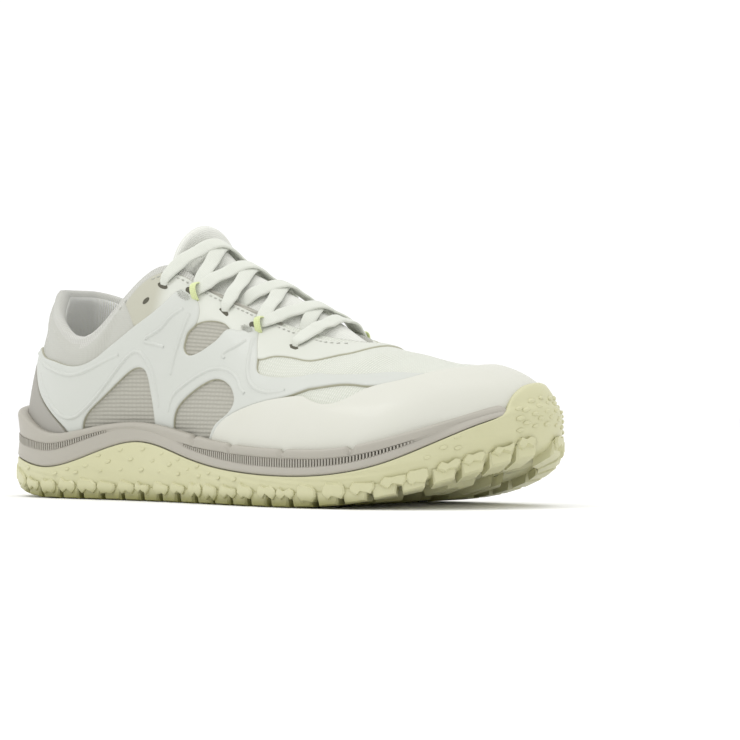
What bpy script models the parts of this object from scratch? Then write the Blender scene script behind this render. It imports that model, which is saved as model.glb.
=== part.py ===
"""A low barefoot trail shoe, the right one of a pair, standing empty on its sole.

It is drawn from the back of the heel, x = 0, to the tip of the toe, x = LENGTH. The wearer's left,
the medial side, is +Y, and the ground is z = 0. The empty that carries the pieces puts the middle
of the sole on the origin.
"""

import math

import bmesh
import bpy
import numpy as np
from mathutils.geometry import delaunay_2d_cdt

# Driving sizes, in metres
LENGTH = 0.260
BALL_WIDTH = 0.096
INSTEP_HEIGHT = 0.098
SOLE_SIDE = 0.030
STACK = 0.0145
LUG_DEPTH = 0.0035
PLATE = 0.0023
RUBBER_WALL = 0.0016
UPPER_WALL = 0.0020
COLLAR_PAD = 0.0042
OVERLAY = 0.0008
INSOLE = 0.0037
INSOLE_LIFT = 0.0004
TONGUE = 0.0042
LACE_WIDTH = 0.0070
LACE_THICKNESS = 0.0014
GAP = 0.00035
OFF_UPPER = 0.00060
FEATHER_INSET = 0.0052
LACE_DROP = 0.0009
LACE_LOW, LACE_HIGH = -0.0010, 0.0030

# How finely the forms are cut
SIDE_STEPS = 40
BOUNDARY_STEP = 0.006
INNER_STEP = 0.0080

LATERAL, MEDIAL = -1, 1
HEEL_PIVOT, TOE_PIVOT = 0.125, 0.845
THROAT_END = 0.692

# The sole's outline seen from above: share of LENGTH, share of BALL_WIDTH to the wearer's left
LATERAL_OUTLINE = (
    (0.000, 0.000), (0.012, -0.135), (0.046, -0.255), (0.135, -0.339), (0.250, -0.344),
    (0.365, -0.360), (0.500, -0.427), (0.615, -0.495), (0.712, -0.521), (0.800, -0.495),
    (0.885, -0.396), (0.946, -0.219), (0.985, -0.031), (1.000, 0.146),
)
MEDIAL_OUTLINE = (
    (0.000, 0.000), (0.012, 0.135), (0.046, 0.250), (0.135, 0.328), (0.250, 0.328),
    (0.365, 0.318), (0.500, 0.365), (0.615, 0.427), (0.731, 0.479), (0.846, 0.474),
    (0.942, 0.417), (0.987, 0.302), (1.000, 0.146),
)

# The line that the foot's cross-sections meet on: share of LENGTH, share of BALL_WIDTH
SPINE = ((0.0, 0.0), (0.25, 0.0), (0.45, 0.035), (0.70, 0.085), (0.85, 0.12), (1.0, 0.14))

# Heights of the sole along its length, as shares of SOLE_SIDE: share of LENGTH, ground side,
# then top of the rubber and top of the foam rim on the lateral side and on the medial side
SOLE_ROWS = (
    (0.00, 0.15, 0.60, 1.30, 0.60, 1.30),
    (0.06, 0.05, 0.52, 1.15, 0.52, 1.15),
    (0.13, 0.00, 0.43, 0.93, 0.43, 0.93),
    (0.22, 0.00, 0.57, 0.97, 0.57, 0.99),
    (0.34, 0.00, 0.80, 1.07, 0.85, 1.12),
    (0.46, 0.00, 0.60, 0.93, 0.62, 0.96),
    (0.60, 0.00, 0.43, 0.78, 0.43, 0.80),
    (0.70, 0.00, 0.40, 0.75, 0.40, 0.76),
    (0.80, 0.06, 0.46, 0.79, 0.48, 0.82),
    (0.88, 0.18, 0.62, 0.93, 0.64, 0.96),
    (0.94, 0.33, 0.85, 1.08, 0.87, 1.10),
    (1.00, 0.56, 1.05, 1.25, 1.05, 1.25),
)
FLAT_GROUND = (0.13, 0.70)

# How far the side of the sole stands in from its outline, at heights above its ground side
SIDE_PROFILE = ((0.0, 0.0032), (0.0035, 0.0017), (0.008, 0.0004), (0.012, 0.0), (0.060, 0.0))

# The foam side above the rubber: share of the way from the rubber's top to the rim, inset
FOAM_PROFILE = (
    (0.08, 0.0009), (0.40, 0.0000), (0.47, 0.0012), (0.54, 0.0012), (0.62, 0.0000),
    (1.00, 0.0007),
)

# Ribs of the upper: share of LENGTH, height of the top edge (share of INSTEP_HEIGHT), its distance
# from the spine (share of BALL_WIDTH), slope there and flare at the foot (degrees), and the reach
# of the foot's and of the edge's tangents (shares of the rib's height)
UPPER_ROWS = {
    LATERAL: (
        (0.000, 0.870, 0.160, 72, 4, 0.30, 0.35),
        (0.045, 0.856, 0.168, 76, 4, 0.30, 0.35),
        (0.090, 0.800, 0.205, 80, 5, 0.30, 0.35),
        (0.135, 0.738, 0.255, 82, 6, 0.30, 0.33),
        (0.170, 0.690, 0.282, 82, 5, 0.30, 0.33),
        (0.203, 0.680, 0.290, 80, 6, 0.30, 0.33),
        (0.235, 0.720, 0.280, 76, 5, 0.30, 0.33),
        (0.272, 0.830, 0.252, 68, 4, 0.30, 0.33),
        (0.310, 0.940, 0.220, 60, 4, 0.32, 0.30),
        (0.350, 0.985, 0.195, 52, 4, 0.32, 0.30),
        (0.420, 0.900, 0.180, 46, 4, 0.34, 0.30),
        (0.500, 0.805, 0.170, 40, 8, 0.36, 0.30),
        (0.570, 0.732, 0.158, 34, 8, 0.38, 0.35),
        (0.625, 0.688, 0.136, 26, 8, 0.42, 0.40),
        (0.662, 0.668, 0.096, 14, 8, 0.45, 0.50),
        (0.692, 0.652, 0.000, 0, 8, 0.48, 0.60),
        (0.770, 0.608, 0.000, 0, 8, 0.50, 0.70),
        (0.845, 0.566, 0.000, 0, 8, 0.56, 0.80),
        (1.000, 0.566, 0.000, 0, 6, 0.68, 0.84),
    ),
    MEDIAL: (
        (0.000, 0.870, 0.160, 72, 4, 0.30, 0.35),
        (0.045, 0.865, 0.168, 76, 4, 0.30, 0.35),
        (0.090, 0.850, 0.200, 80, 5, 0.30, 0.35),
        (0.135, 0.815, 0.245, 82, 6, 0.30, 0.33),
        (0.170, 0.775, 0.272, 82, 5, 0.30, 0.33),
        (0.203, 0.755, 0.280, 80, 6, 0.30, 0.33),
        (0.235, 0.775, 0.268, 76, 4, 0.30, 0.33),
        (0.272, 0.860, 0.238, 68, 3, 0.30, 0.33),
        (0.310, 0.945, 0.205, 60, 3, 0.32, 0.30),
        (0.350, 0.985, 0.180, 52, 3, 0.32, 0.30),
        (0.420, 0.905, 0.165, 46, 3, 0.34, 0.30),
        (0.500, 0.812, 0.155, 40, 5, 0.36, 0.30),
        (0.570, 0.740, 0.145, 34, 6, 0.38, 0.35),
        (0.625, 0.692, 0.127, 26, 6, 0.42, 0.40),
        (0.662, 0.670, 0.090, 14, 7, 0.45, 0.50),
        (0.692, 0.652, 0.000, 0, 8, 0.48, 0.60),
        (0.770, 0.608, 0.000, 0, 8, 0.50, 0.70),
        (0.845, 0.566, 0.000, 0, 8, 0.56, 0.80),
        (1.000, 0.566, 0.000, 0, 6, 0.68, 0.84),
    ),
}

# The rubber of the toe: distance round the tip (share of a half outline), height of its top
TOE_BUMPER = (
    (-0.110, 0.0), (-0.085, 0.10), (-0.060, 0.70), (-0.030, 0.96), (0.000, 1.0),
    (0.060, 1.0), (0.095, 0.92), (0.125, 0.60), (0.150, 0.08), (0.175, 0.0),
)
BUMPER_TOP = 0.0475


def spline(knots, values):
    """A natural cubic spline through rows of values, as a function of arrays."""
    x = np.asarray(knots, float)
    y = np.asarray(values, float).reshape(len(knots), -1)
    h = np.diff(x)
    m = np.eye(len(x))
    rhs = np.zeros_like(y)
    for i in range(1, len(x) - 1):
        m[i, i - 1 : i + 2] = h[i - 1], 2 * (h[i - 1] + h[i]), h[i]
        rhs[i] = 6 * ((y[i + 1] - y[i]) / h[i] - (y[i] - y[i - 1]) / h[i - 1])
    bend = np.linalg.solve(m, rhs)

    def at(q):
        q = np.clip(np.asarray(q, float), x[0], x[-1])
        i = np.clip(np.searchsorted(x, q, side="right") - 1, 0, len(h) - 1)
        a = (x[i + 1] - q)[..., None]
        b = (q - x[i])[..., None]
        s = h[i][..., None]
        return (
            (bend[i] * a**3 + bend[i + 1] * b**3) / (6 * s)
            + (y[i] / s - bend[i] * s / 6) * a
            + (y[i + 1] / s - bend[i + 1] * s / 6) * b
        )

    return at


def half_outlines(steps=400):
    """For each side, points and outward normals evenly spaced from the heel back to the toe tip."""
    loop = list(LATERAL_OUTLINE) + list(reversed(MEDIAL_OUTLINE[1:-1]))
    loop = np.array(loop) * (LENGTH, BALL_WIDTH)
    n, wrap = len(loop), 4
    ring = np.vstack([loop[-wrap:], loop, loop[: wrap + 1]])
    knots = np.r_[0, np.cumsum(np.sqrt(np.linalg.norm(np.diff(ring, axis=0), axis=1)))]
    curve = spline(knots, ring)
    heel, toe, end = knots[wrap], knots[wrap + len(LATERAL_OUTLINE) - 1], knots[wrap + n]
    halves = {}
    for side, a, b in ((LATERAL, heel, toe), (MEDIAL, end, toe)):
        p = curve(np.linspace(a, b, steps * 4))
        run = np.r_[0, np.cumsum(np.linalg.norm(np.diff(p, axis=0), axis=1))]
        even = np.linspace(0, run[-1], steps)
        p = np.stack([np.interp(even, run, p[:, k]) for k in (0, 1)], axis=1)
        tangent = np.gradient(p, axis=0)
        tangent[0], tangent[-1] = (0, side), (0, -side)
        tangent /= np.linalg.norm(tangent, axis=1)[:, None]
        normal = np.stack([-tangent[:, 1], tangent[:, 0]], axis=1) * side
        halves[side] = (even / run[-1], p, normal, run[-1])
    return halves


HALVES = half_outlines()
SOLE = spline([r[0] for r in SOLE_ROWS], [r[1:] for r in SOLE_ROWS])
UPPER = {s: spline([r[0] for r in rows], [r[1:] for r in rows]) for s, rows in UPPER_ROWS.items()}
SPINE_Y = spline([r[0] for r in SPINE], [r[1] for r in SPINE])


def outline(side, t, out=0.0):
    """Points and normals on a half outline at the shares t of its run, moved out by a distance."""
    share, p, normal, _ = HALVES[side]
    t = np.asarray(t, float)
    at = [np.interp(t, share, p[:, k]) for k in (0, 1)]
    n = np.stack([np.interp(t, share, normal[:, k]) for k in (0, 1)], axis=-1)
    n /= np.linalg.norm(n, axis=-1)[..., None]
    return np.stack(at, axis=-1) + n * np.asarray(out, float)[..., None], n


def share_at_x(side, x):
    """The share of a half outline's run at which it reaches x."""
    share, p, _, _ = HALVES[side]
    return np.interp(x, p[:, 0], share)


def smooth(x, low, high):
    """0 below low, 1 above high, and an even step between them."""
    q = np.clip((np.asarray(x, float) - low) / (high - low), 0, 1)
    return q * q * (3 - 2 * q)


def soft_clamp(x, low, high, round_=0.03):
    """x kept between low and high, with rounded corners."""
    x = low + 0.5 * ((x - low) + np.sqrt((x - low) ** 2 + round_**2))
    return high - 0.5 * ((high - x) + np.sqrt((high - x) ** 2 + round_**2))


def spine(x):
    """The point on the shoe's spine that the rib from an outline point at x leads to."""
    sx = soft_clamp(x / LENGTH, HEEL_PIVOT, TOE_PIVOT)
    return np.stack([sx * LENGTH, SPINE_Y(sx)[..., 0] * BALL_WIDTH], axis=-1)


def ground(x):
    """Height of the sole's ground side: flat under the foot, with the toe's and the heel's spring."""
    key = np.asarray(x, float) / LENGTH
    low = SOLE(key)[..., 0] * SOLE_SIDE
    return np.where((key >= FLAT_GROUND[0]) & (key <= FLAT_GROUND[1]), 0.0, np.maximum(low, 0.0))


def sole_heights(side, x):
    """Top of the rubber and top of the foam rim on one side."""
    h = SOLE(np.asarray(x, float) / LENGTH) * SOLE_SIDE
    return (h[..., 1], h[..., 2]) if side == LATERAL else (h[..., 3], h[..., 4])


def board(x):
    """Height of the insole board, on which the upper stands."""
    return ground(x) + STACK


def rib(side, t, w, out=0.0):
    """Points of the upper's outer form at shares t along the outline and w up each rib, moved out
    by a distance square to the rib."""
    t, w = np.broadcast_arrays(np.asarray(t, float), np.asarray(w, float))
    p, n = outline(side, t)
    foot = p - n * FEATHER_INSET
    s = spine(p[..., 0])
    away = foot - s
    reach = np.linalg.norm(away, axis=-1)
    away = away / reach[..., None]
    key = np.minimum(p[..., 0] / LENGTH, 1)
    edge = UPPER[side](soft_clamp(key, -1, TOE_PIVOT, 0.02))
    feet = UPPER[side](key)
    z0 = board(p[..., 0])
    z3 = edge[..., 0] * INSTEP_HEIGHT
    r3 = np.where(key < THROAT_END - 1e-6, np.maximum(edge[..., 1], 0), 0) * BALL_WIDTH
    lean = np.radians(np.maximum(edge[..., 2], 0))
    flare = np.radians(feet[..., 3])
    a, b = feet[..., 4] * (z3 - z0), feet[..., 5] * (z3 - z0)
    knots = np.stack([
        np.stack([reach, z0], -1),
        np.stack([reach + a * np.sin(flare), z0 + a * np.cos(flare)], -1),
        np.stack([r3 + b * np.cos(lean), z3 - b * np.sin(lean)], -1),
        np.stack([r3, z3], -1),
    ], axis=-2)
    w = w[..., None]
    weights = ((1 - w) ** 3, 3 * w * (1 - w) ** 2, 3 * w**2 * (1 - w), w**3)
    slopes = (-3 * (1 - w) ** 2, 3 * (1 - w) * (1 - 3 * w), 3 * w * (2 - 3 * w), 3 * w**2)
    q = sum(c * knots[..., k, :] for k, c in enumerate(weights))
    d = sum(c * knots[..., k, :] for k, c in enumerate(slopes))
    square = np.stack([d[..., 1], -d[..., 0]], axis=-1)
    square /= np.maximum(np.linalg.norm(square, axis=-1), 1e-9)[..., None]
    q = q + square * np.asarray(out, float)[..., None]
    flat = s + away * q[..., :1]
    return np.concatenate([flat, q[..., 1:]], axis=-1)


def around(u, w, out=0.0):
    """The upper's form round the shoe: u is 0 at the heel, 1 at the toe by way of the lateral
    side, and 2 at the heel again; below 0 it is on the medial side of the heel."""
    u, w = np.broadcast_arrays(np.asarray(u, float), np.asarray(w, float))
    t = np.where(u < 0, -u, np.where(u > 1, 2 - u, u))
    medial = (u < 0) | (u > 1)
    return np.where(medial[..., None], rib(MEDIAL, t, w, out), rib(LATERAL, t, w, out))


def across(x, v, out=0.0):
    """The upper's form over the instep: x is a share of LENGTH and v is the share down the rib
    from its top edge, negative on the lateral side."""
    x, v = np.broadcast_arrays(np.asarray(x, float), np.asarray(v, float))
    w = 1 - np.abs(v)
    lateral = rib(LATERAL, share_at_x(LATERAL, x * LENGTH), w, out)
    medial = rib(MEDIAL, share_at_x(MEDIAL, x * LENGTH), w, out)
    return np.where((v < 0)[..., None], lateral, np.where((v > 0)[..., None], medial, (lateral + medial) / 2))


def share_at_height(side, t, z):
    """How far up its ribs the upper's form reaches the heights z."""
    steps = np.linspace(0, 1, 41)
    heights = rib(side, np.asarray(t)[:, None], steps)[..., 2]
    return np.array([np.interp(z[i], heights[i], steps) for i in range(len(heights))])


def form_inset(side, t, z, out):
    """How far in from the outline the upper's form, moved out, stands at the heights z."""
    p, n = outline(side, t)
    steps = np.linspace(0, 0.7, 36)
    q = rib(side, np.asarray(t)[:, None], steps, out)
    inset = np.einsum("ijk,ik->ij", p[:, None] - q[..., :2], n)
    return np.array([np.interp(z[i], q[i, :, 2], inset[i]) for i in range(len(p))])


def loop_stations():
    """Side and share of run of the stations of a loop round the shoe, the same x on both sides."""
    end = share_at_x(LATERAL, THROAT_END * LENGTH)
    rear = round(SIDE_STEPS * end)
    lateral = np.r_[np.linspace(0, end, rear + 1), np.linspace(end, 1, SIDE_STEPS - rear + 1)[1:]]
    x = outline(LATERAL, lateral)[0][:, 0]
    medial = share_at_x(MEDIAL, x)
    medial[0], medial[-1] = 0, 1
    sides = np.r_[np.full(len(lateral), LATERAL), np.full(len(lateral) - 2, MEDIAL)]
    return sides, np.r_[lateral, medial[-2:0:-1]], np.r_[x, x[-2:0:-1]], rear


LOOP_SIDE, LOOP_T, LOOP_X, THROAT_STEP = loop_stations()


def by_side(function, *columns):
    """Calls function(side, t, ...) for each side's stations of the loop and puts them in order."""
    parts = []
    for side in (LATERAL, MEDIAL):
        pick = LOOP_SIDE == side
        parts.append(function(side, LOOP_T[pick], *[c[pick] for c in columns]))
    return np.concatenate(parts)


def wall_ring(inset, z):
    """A loop that stands in from the outline by inset, at the heights z."""
    flat = by_side(lambda side, t, inset: outline(side, t, -inset)[0], inset + 0 * LOOP_X)
    return np.column_stack([flat, z + 0 * LOOP_X])


def floor_ring(inset, height):
    """A loop that stands in from the outline by inset, at a height above the ground side."""
    ring = wall_ring(inset, 0.0)
    ring[:, 2] = ground(ring[:, 0]) + height
    return ring


def upper_ring(w, out):
    """A loop on the upper's form."""
    return by_side(lambda side, t, w, out: rib(side, t, w, out), w + 0 * LOOP_X, out + 0 * LOOP_X)


def spread(points, closed, step):
    """Points at even steps along a smooth line through a few points."""
    points = np.asarray(points, float)
    if closed:
        points = np.vstack([points[-3:], points, points[:3]])
    knots = np.r_[0, np.cumsum(np.linalg.norm(np.diff(points, axis=0), axis=1))]
    curve = spline(knots, points)
    first, last = (knots[3], knots[-3]) if closed else (knots[0], knots[-1])
    fine = curve(np.linspace(first, last, 400))
    run = np.r_[0, np.cumsum(np.linalg.norm(np.diff(fine, axis=0), axis=1))]
    n = max(2, round(run[-1] / step))
    even = np.linspace(0, run[-1], n + 1)
    found = np.stack([np.interp(even, run, fine[:, k]) for k in range(points.shape[1])], axis=1)
    return found[:-1]


def inside(points, loops):
    """Which points lie inside an outline with holes."""
    odd = np.zeros(len(points), bool)
    for loop in loops:
        a, b = loop, np.roll(loop, -1, axis=0)
        for (x1, y1), (x2, y2) in zip(a, b):
            if y1 == y2:
                continue
            crosses = (points[:, 1] >= min(y1, y2)) & (points[:, 1] < max(y1, y2))
            x = x1 + (points[:, 1] - y1) * (x2 - x1) / (y2 - y1)
            odd ^= crosses & (points[:, 0] < x)
    return odd


def triangulated(loops, step):
    """Points and triangles that fill an outline with holes, with rows of points inside it."""
    edge = np.vstack(loops)
    low, high = edge.min(axis=0), edge.max(axis=0)
    rows = []
    for j, y in enumerate(np.arange(low[1] + step / 2, high[1], step * 0.866)):
        x = np.arange(low[0] + step * (0.5 if j % 2 else 0.25), high[0], step)
        rows.append(np.column_stack([x, np.full(len(x), y)]))
    grid = np.vstack(rows) if rows else np.zeros((0, 2))
    if len(grid):
        near = np.linalg.norm(grid[:, None] - edge[None], axis=2).min(axis=1)
        grid = grid[inside(grid, loops) & (near > 0.55 * step)]
    points = np.vstack([edge, grid])
    sides, first = [], 0
    for loop in loops:
        sides += [(first + i, first + (i + 1) % len(loop)) for i in range(len(loop))]
        first += len(loop)
    found = delaunay_2d_cdt([tuple(p) for p in points], sides, [], 0, 1e-9)
    order = np.array([source[0] for source in found[3]])
    triangles = order[np.array(found[2])]
    middles = points[triangles].mean(axis=1)
    triangles = triangles[inside(middles, loops)]
    a, b, c = (points[triangles[:, k]] for k in range(3))
    turned = (b - a)[:, 0] * (c - a)[:, 1] - (b - a)[:, 1] * (c - a)[:, 0] < 0
    triangles[turned] = triangles[turned][:, ::-1]
    return points, triangles


def make_object(name, points, faces, colour, roughness, weld=1e-6):
    """A solid from points and faces, with its own material."""
    mesh = bpy.data.meshes.new(name)
    bm = bmesh.new()
    verts = [bm.verts.new(p) for p in points]
    for face in faces:
        if len(set(face)) == len(face):
            bm.faces.new([verts[i] for i in face])
    bmesh.ops.remove_doubles(bm, verts=bm.verts, dist=weld)
    bmesh.ops.triangulate(bm, faces=bm.faces)
    bmesh.ops.recalc_face_normals(bm, faces=bm.faces)
    if bm.calc_volume(signed=True) < 0:
        bmesh.ops.reverse_faces(bm, faces=bm.faces)
    bm.to_mesh(mesh)
    bm.free()
    mesh.shade_smooth()
    mesh.set_sharp_from_angle(angle=math.radians(35))
    obj = bpy.data.objects.new(name, mesh)
    bpy.context.collection.objects.link(obj)
    obj.parent = SHOE
    material = bpy.data.materials.new(name)
    material.use_nodes = True
    shader = material.node_tree.nodes["Principled BSDF"]
    shader.inputs["Base Color"].default_value = (*colour, 1)
    shader.inputs["Roughness"].default_value = roughness
    shader.inputs["Metallic"].default_value = 0
    mesh.materials.append(material)
    return obj


def quads(first, second):
    """Faces between two loops of point numbers."""
    n = len(first)
    return [(first[i], first[(i + 1) % n], second[(i + 1) % n], second[i]) for i in range(n)]


def ring_solid(name, rings, first_cap, last_cap, colour, roughness, step=0.014):
    """A solid of stacked loops, closed by a floor and a lid whose heights are functions of x."""
    n = len(rings[0])
    points = [p for ring in rings for p in ring]
    faces = []
    for k in range(len(rings) - 1):
        faces += quads(range(k * n, (k + 1) * n), range((k + 1) * n, (k + 2) * n))
    for ring, first, cap in ((rings[0], 0, first_cap), (rings[-1], (len(rings) - 1) * n, last_cap)):
        flat, triangles = triangulated([ring[:, :2]], step)
        start = len(points)
        points += [(x, y, float(cap(x))) for x, y in flat[n:]]
        number = [first + i if i < n else start + i - n for i in range(len(flat))]
        faces += [tuple(number[i] for i in triangle) for triangle in triangles]
    return make_object(name, points, faces, colour, roughness)


def panel(name, chart, scale, loops, colour, roughness, low=OFF_UPPER, high=OFF_UPPER + OVERLAY):
    """A sheet that lies on the upper inside loops drawn on a chart of its form."""
    scale = np.array(scale)
    flat, triangles = triangulated([loop * scale for loop in loops], INNER_STEP)
    flat = flat / scale
    n = len(flat)
    under = chart(flat[:, 0], flat[:, 1], low)
    over = chart(flat[:, 0], flat[:, 1], high)
    faces = [tuple(t) for t in triangles] + [tuple(i + n for i in t[::-1]) for t in triangles]
    used = {}
    for t in triangles:
        for a, b in ((t[0], t[1]), (t[1], t[2]), (t[2], t[0])):
            used[(a, b)] = used.get((a, b), 0) + 1
    rim = [(a, b) for a, b in used if (b, a) not in used]
    faces += [(b, a, a + n, b + n) for a, b in rim]
    return make_object(name, np.vstack([under, over]), faces, colour, roughness)


def chart_loop(runs, scale, step=BOUNDARY_STEP):
    """A closed outline on a chart from smooth runs that meet at corners."""
    scale = np.array(scale)
    return np.vstack([spread(np.array(run) * scale, False, step) for run in runs]) / scale


def round_hole(points, scale, step=BOUNDARY_STEP * 0.8):
    """A closed smooth outline on a chart."""
    scale = np.array(scale)
    return spread(np.array(points) * scale, True, step) / scale


for old in list(bpy.data.objects):
    bpy.data.objects.remove(old, do_unlink=True)

# The empty that carries the pieces stands under the middle of the sole
SHOE = bpy.data.objects.new("shoe", None)
bpy.context.collection.objects.link(SHOE)
WIDTH_MIDDLE = (HALVES[LATERAL][1][:, 1].min() + HALVES[MEDIAL][1][:, 1].max()) / 2
SHOE.location = (-LENGTH / 2, -WIDTH_MIDDLE, 0)

# Colours seen on the shoe, as linear values
RUBBER = (0.62, 0.63, 0.33)
FOAM = (0.60, 0.58, 0.53)
KNIT = (0.62, 0.61, 0.57)
FILM = (0.74, 0.75, 0.70)
RAND = (0.74, 0.74, 0.67)
COUNTER = (0.60, 0.58, 0.54)
LACE = (0.74, 0.77, 0.72)
LOOP = (0.78, 0.86, 0.42)
LINING = (0.66, 0.65, 0.62)

# Heights round the loop
FLOOR = ground(LOOP_X)
RUBBER_TOP = by_side(lambda side, t, x: sole_heights(side, x)[0], LOOP_X)
FOAM_TOP = by_side(lambda side, t, x: sole_heights(side, x)[1], LOOP_X)


def round_the_tip(side, t):
    """Signed share of run from the toe tip, positive on the medial side."""
    return (1 - t) * side


def bumper_share(side, t):
    """How much of the toe bumper's height stands at a station."""
    q = round_the_tip(side, t)
    return np.interp(q, [r[0] for r in TOE_BUMPER], [r[1] for r in TOE_BUMPER])


BUMPER = by_side(bumper_share)


def side_inset(z):
    """How far the sole's side stands in from its outline at the heights z."""
    rows = np.array(SIDE_PROFILE)
    return np.interp(z - FLOOR, rows[:, 0], rows[:, 1])


def off_form(z, out):
    """How far in from the outline a wall stands that keeps a distance off the upper's form."""
    return by_side(lambda side, t, z: form_inset(side, t, z, out), z)


def wall_heights(lift):
    """Heights of the rubber wall between its turn under the foam and its top."""
    turn = FLOOR + 0.008
    low = turn + (RUBBER_TOP - turn) * (0.5 + lift / 2)
    high = RUBBER_TOP - 0.001 + (WALL_TOP - RUBBER_TOP + 0.001) * lift
    return np.where(BUMPER > 0, high, low)


def wall_inset(z, out):
    """How far in the rubber wall stands at the heights z: below its top on its own profile, and
    over the toe a distance off the upper."""
    share = smooth(z, RUBBER_TOP, RUBBER_TOP + 0.004)
    return side_inset(z) * (1 - share) + off_form(z, out) * share


# Outsole: a rubber plate with a thin side wall, drawn up over the toe
OFF_OVERLAY = OFF_UPPER + OVERLAY + 0.00045
OFF_BUMPER = OFF_OVERLAY + 0.00035
PLATE_TOP = LUG_DEPTH + PLATE
WALL_TOP = RUBBER_TOP + (BUMPER_TOP - RUBBER_TOP) * BUMPER
LIFTS = (0.0, 0.35, 0.7, 1.0)
rings = [
    floor_ring(side_inset(FLOOR + LUG_DEPTH), LUG_DEPTH),
    wall_ring(side_inset(FLOOR + 0.008), FLOOR + 0.008),
]
for lift in LIFTS:
    z = wall_heights(lift)
    rings.append(wall_ring(wall_inset(z, OFF_BUMPER + RUBBER_WALL), z))
for lift in LIFTS[::-1]:
    z = wall_heights(lift)
    inner_wall = wall_inset(z, OFF_BUMPER) + RUBBER_WALL * (z <= RUBBER_TOP)
    rings.append(wall_ring(np.maximum(inner_wall, wall_inset(z, OFF_BUMPER + RUBBER_WALL) + 0.0010), z))
rings.append(wall_ring(side_inset(FLOOR + 0.008) + RUBBER_WALL + 0.0004, FLOOR + 0.0078))
rings.append(floor_ring(side_inset(FLOOR + PLATE_TOP) + RUBBER_WALL + 0.0016, PLATE_TOP))
outsole = ring_solid(
    "outsole",
    rings,
    lambda x: ground(x) + LUG_DEPTH,
    lambda x: ground(x) + PLATE_TOP,
    RUBBER,
    0.55,
)

# Lugs on the edge of the tread, as blocks between shares of a half outline's run
EDGE_LUGS, EDGE_SPAN, EDGE_GAP = 17, (0.015, 0.985), 0.24
EDGE_DEPTH, LUG_ROOT = 0.0105, 0.0012

# Rows of lugs inside the edge: share of LENGTH, how many, middle and half width of the row as
# shares of BALL_WIDTH
LUG_ROWS = (
    (0.125, 2, 0.00, 0.100), (0.220, 2, 0.00, 0.130), (0.315, 2, 0.00, 0.100),
    (0.410, 2, -0.01, 0.130), (0.505, 3, -0.03, 0.200), (0.600, 3, -0.03, 0.240),
    (0.695, 4, -0.02, 0.280), (0.790, 3, 0.00, 0.240), (0.875, 2, 0.05, 0.120),
)
LUG_HALF = (0.0070, 0.0060)


def block(bm, top, bottom):
    """A lug between two outlines with the same number of corners."""
    ends = [[bm.verts.new(p) for p in row] for row in (top, bottom)]
    n = len(top)
    for i in range(n):
        bm.faces.new((ends[0][i], ends[0][(i + 1) % n], ends[1][(i + 1) % n], ends[1][i]))
    bm.faces.new(ends[0][::-1])
    bm.faces.new(ends[1])


def lug_corners(flat, z_off):
    """Corners at a height above the ground side."""
    flat = np.asarray(flat)
    return np.column_stack([flat, ground(flat[:, 0]) + z_off])


bm = bmesh.new()
for side in (LATERAL, MEDIAL):
    pitch = (EDGE_SPAN[1] - EDGE_SPAN[0]) / EDGE_LUGS
    for k in range(EDGE_LUGS):
        start = EDGE_SPAN[0] + pitch * (k + EDGE_GAP / 2)
        stop = start + pitch * (1 - EDGE_GAP)
        lean = 0.18 * pitch * (-1) ** k
        depth = EDGE_DEPTH * (1.0 if k % 2 else 0.8)
        shares = np.array([start, stop, stop + lean, start + lean])
        for_top = np.array([0.0021, 0.0021, 0.8 * depth, depth])
        for_bottom = for_top + np.array([0.0013, 0.0013, -0.0006, -0.0006])
        top, _ = outline(side, shares, -for_top)
        bottom, _ = outline(side, shares, -for_bottom)
        block(bm, lug_corners(top, LUG_DEPTH + LUG_ROOT), lug_corners(bottom, 0.0))
for share, count, middle, half in LUG_ROWS:
    for k in range(count):
        y = middle + (2 * half * (k / (count - 1)) - half)
        cx, cy = share * LENGTH, y * BALL_WIDTH
        a, b = LUG_HALF
        point = 0.0022 if k % 2 else -0.0022
        shape = np.array([(-a, -b), (a + point, -b), (a - point, b), (-a - point, b)])
        top = shape + (cx, cy)
        bottom = shape * 0.86 + (cx, cy)
        block(bm, lug_corners(top, LUG_DEPTH + LUG_ROOT), lug_corners(bottom, 0.0))
bmesh.ops.recalc_face_normals(bm, faces=bm.faces)
bmesh.ops.triangulate(bm, faces=bm.faces)
lug_mesh = bpy.data.meshes.new("lugs")
bm.to_mesh(lug_mesh)
bm.free()
lugs = bpy.data.objects.new("lugs", lug_mesh)
bpy.context.collection.objects.link(lugs)
lugs.parent = SHOE
lugs.hide_render = True
lugs.display_type = "WIRE"
join = outsole.modifiers.new("lugs", "BOOLEAN")
join.operation = "UNION"
join.solver = "EXACT"
join.use_self = True
join.object = lugs

# Midsole: a foam tray whose rim stands round the foot, with a groove along its side
FOAM_LOW = RUBBER_TOP + GAP


def drawn_in(side, t):
    """1 where the toe bumper covers the foam, and 0 where the foam shows."""
    return np.interp(round_the_tip(side, t), (-0.175, -0.140, 0.205, 0.240), (0, 1, 1, 0))


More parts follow.
